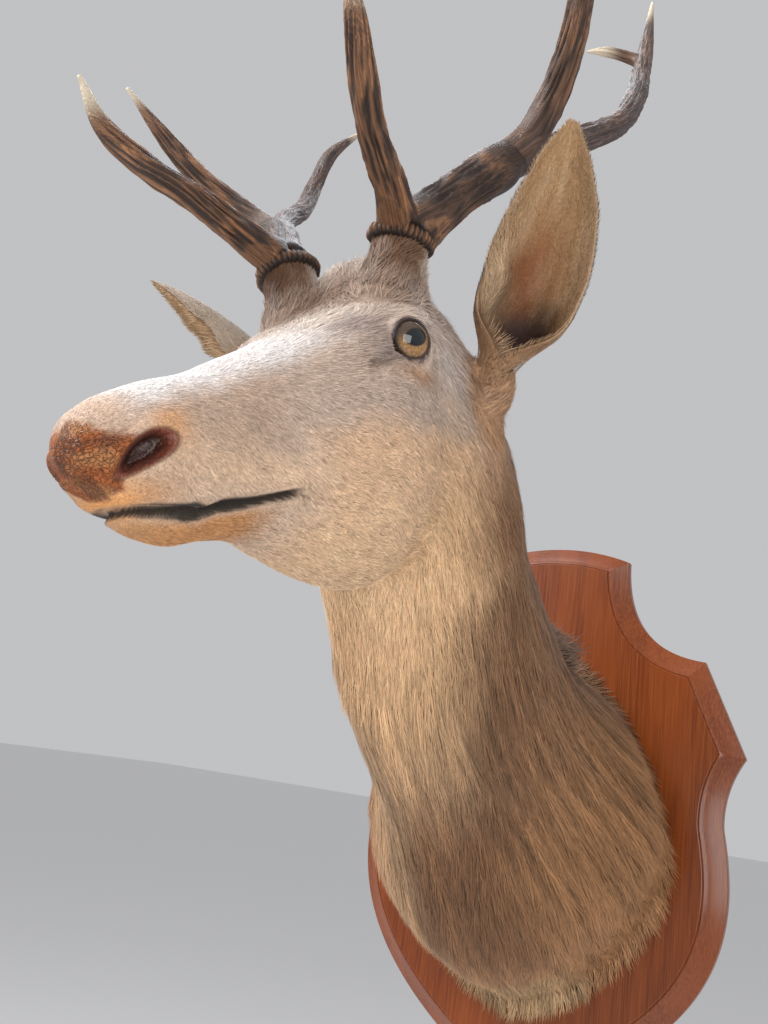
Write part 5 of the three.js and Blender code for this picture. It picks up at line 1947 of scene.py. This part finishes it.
# %% Ear and pedicle coats
def ear_coat(side, side_name):
    """Back and inside of one ear, each a grid of the leaf's own rings."""
    rings = ear_rings(side)
    t = np.linspace(0, 1, len(rings))[:, None]
    share = np.linspace(-1, 1, EAR_ARC)[None]
    edge = ease(0.72, 1.0, np.abs(share))
    front = ease(0.35, 0.8, -side * share)
    low = ease(0.42, 0.12, t)
    taper = 0.5 + 0.5 * ease(1.02, 0.85, t)
    centre = ear_profile(side, t[:, 0])[0][:, None]
    for label, sheet, inner in (("back", rings[:, :EAR_ARC], 0), ("inside", rings[:, :EAR_ARC - 1:-1], 1)):
        tipward = unit(np.gradient(sheet, axis=0))
        outward = unit(np.gradient(sheet, axis=1)) * np.sign(share)[..., None]
        flow = tipward + outward * (0.7 * edge + 0.45 * inner * front)[..., None]
        length = (5.5 + inner * (10 * front * ease(0.75, 0.5, t) + 6 * low * edge)) * taper * MM
        lift = 0.08 + 0.07 * edge + inner * (0.10 * front + 0.10 * low)
        layers = (0.68, 0.78)[inner] + 0.7 * edge + 0.8 * inner * front
        away = (sheet - centre) * (-1 if inner else 1)
        grid = planting_grid(sheet, away, flow, length, 0.3 * MM, lift, layers, 0.28)
        tufts(f"ear_{side_name}_fur_{label}", grid, "ear", tone=0.12, clump=(10, 6), seed=20 + side)


def limb_coat(name, rings, length, lift, seed, curl):
    """Locks that climb a limb aslant, shorter towards its top."""
    wrapped = np.concatenate([rings, rings[:, :1]], 1)
    share = np.linspace(0, 1, len(rings))[:, None]
    climb = unit(np.gradient(wrapped, axis=0)) + 0.35 * unit(np.gradient(wrapped, axis=1))
    away = wrapped - wrapped.mean(1, keepdims=True)
    length = length * (1 - 0.55 * ease(0.7, 1.0, share))
    grid = planting_grid(wrapped, away, climb, length, 0.38 * MM, lift, 2.2, curl)
    tufts(name, grid, "coat", tone=0.15, streaks=0.25, clump=(5, 10), seed=seed)


for side, side_name in SIDES.items():
    ear_coat(side, side_name)
    limb_coat(f"coat_pedicle_{side_name}", pedicle_rings(side)[6:], 13 * MM, 0.2, 30 + side, 0.4)
    limb_coat(f"coat_ear_root_{side_name}", ear_root_rings(side)[6:], 12 * MM, 0.16, 34 + side, 0.25)


# %% [markdown]
# ## Floor, light and camera
#
# A pale floor well below, a pale surround, one large soft light from the front right of the stag
# and weaker ones to fill. The camera stands low in front of the left cheek and looks up.

# %% Floor and lights
FLOOR_HEIGHT, FLOOR_REACH = -1.6, 60.0
FLOOR_GREYS = (0.76, 0.76, 0.76), (0.80, 0.80, 0.80)
SURROUND_COLOUR, SURROUND_STRENGTH = (0.97, 0.975, 1.0, 1), 0.55
# Place, aim, width in metres, power in watts and colour of each lamp.
LAMPS = {
    "key": ((-2.1, -2.4, 2.8), (0, -0.4, 0.2), 1.8, 195, (1.0, 0.99, 0.98)),
    "fill": ((2.0, -2.2, 0.3), (0.1, -0.3, 0.1), 1.6, 36, (1.0, 0.98, 0.95)),
    "sky": ((-0.6, 0.6, 2.3), (0, -0.4, 0.3), 1.2, 26, (0.85, 0.92, 1.0)),
}


def studio():
    """A floor slab and a pale surround."""
    across, deep = np.meshgrid([-FLOOR_REACH, FLOOR_REACH], [-FLOOR_REACH, FLOOR_REACH])
    corners = np.stack([across.ravel(), deep.ravel(), np.full(4, FLOOR_HEIGHT)], 1)
    floor = make_object("floor", corners, np.array([[0, 1, 3], [0, 3, 2]]))
    paint_floor = Finish("pale_floor")
    speck = paint_floor.noise(paint_floor.place(), 40.0, 4.0)
    paint_floor.shade(Base_Color=paint_floor.mix(speck, *FLOOR_GREYS), Roughness=0.7)
    paint_floor.wear(floor)
    surround = bpy.data.worlds.new("surround")
    surround.use_nodes = True
    background = surround.node_tree.nodes["Background"]
    background.inputs["Color"].default_value = SURROUND_COLOUR
    background.inputs["Strength"].default_value = SURROUND_STRENGTH
    bpy.context.scene.world = surround


def soft_light(name, place, aim, size, power, colour):
    """A square area light that faces its aim."""
    lamp = bpy.data.lights.new(name, "AREA")
    lamp.size = size
    lamp.energy = power
    lamp.color = colour
    holder = bpy.data.objects.new(name, lamp)
    bpy.context.scene.collection.objects.link(holder)
    turn = (Vector(aim) - Vector(place)).to_track_quat("-Z", "Y")
    holder.matrix_world = Matrix.Translation(place) @ turn.to_matrix().to_4x4()


studio()
for name, lamp in LAMPS.items():
    soft_light(name, *lamp)
print("lamps:", list(LAMPS))

# %% Camera
CAMERA_PLACE = (0.42, -1.015, 0.0)
CAMERA_RIGHT = (0.842136, 0.520475, 0.141112)
CAMERA_UP = (0.032316, -0.309911, 0.950216)
CAMERA_BACK = (0.538296, -0.795651, -0.277807)
FOCAL_PIXELS, IMAGE_HEIGHT, SENSOR = 906, 1024, 36.0
lens = bpy.data.cameras.new("camera")
lens.sensor_fit = "VERTICAL"
lens.sensor_height = SENSOR
lens.lens = FOCAL_PIXELS / IMAGE_HEIGHT * SENSOR
lens.clip_start = 0.05
camera = bpy.data.objects.new("camera", lens)
bpy.context.scene.collection.objects.link(camera)
turn = Matrix((CAMERA_RIGHT, CAMERA_UP, CAMERA_BACK)).transposed().to_4x4()
camera.matrix_world = Matrix.Translation(CAMERA_PLACE) @ turn
bpy.context.scene.camera = camera
bpy.context.scene.view_settings.view_transform = "Standard"
print("camera lens", round(lens.lens, 2))
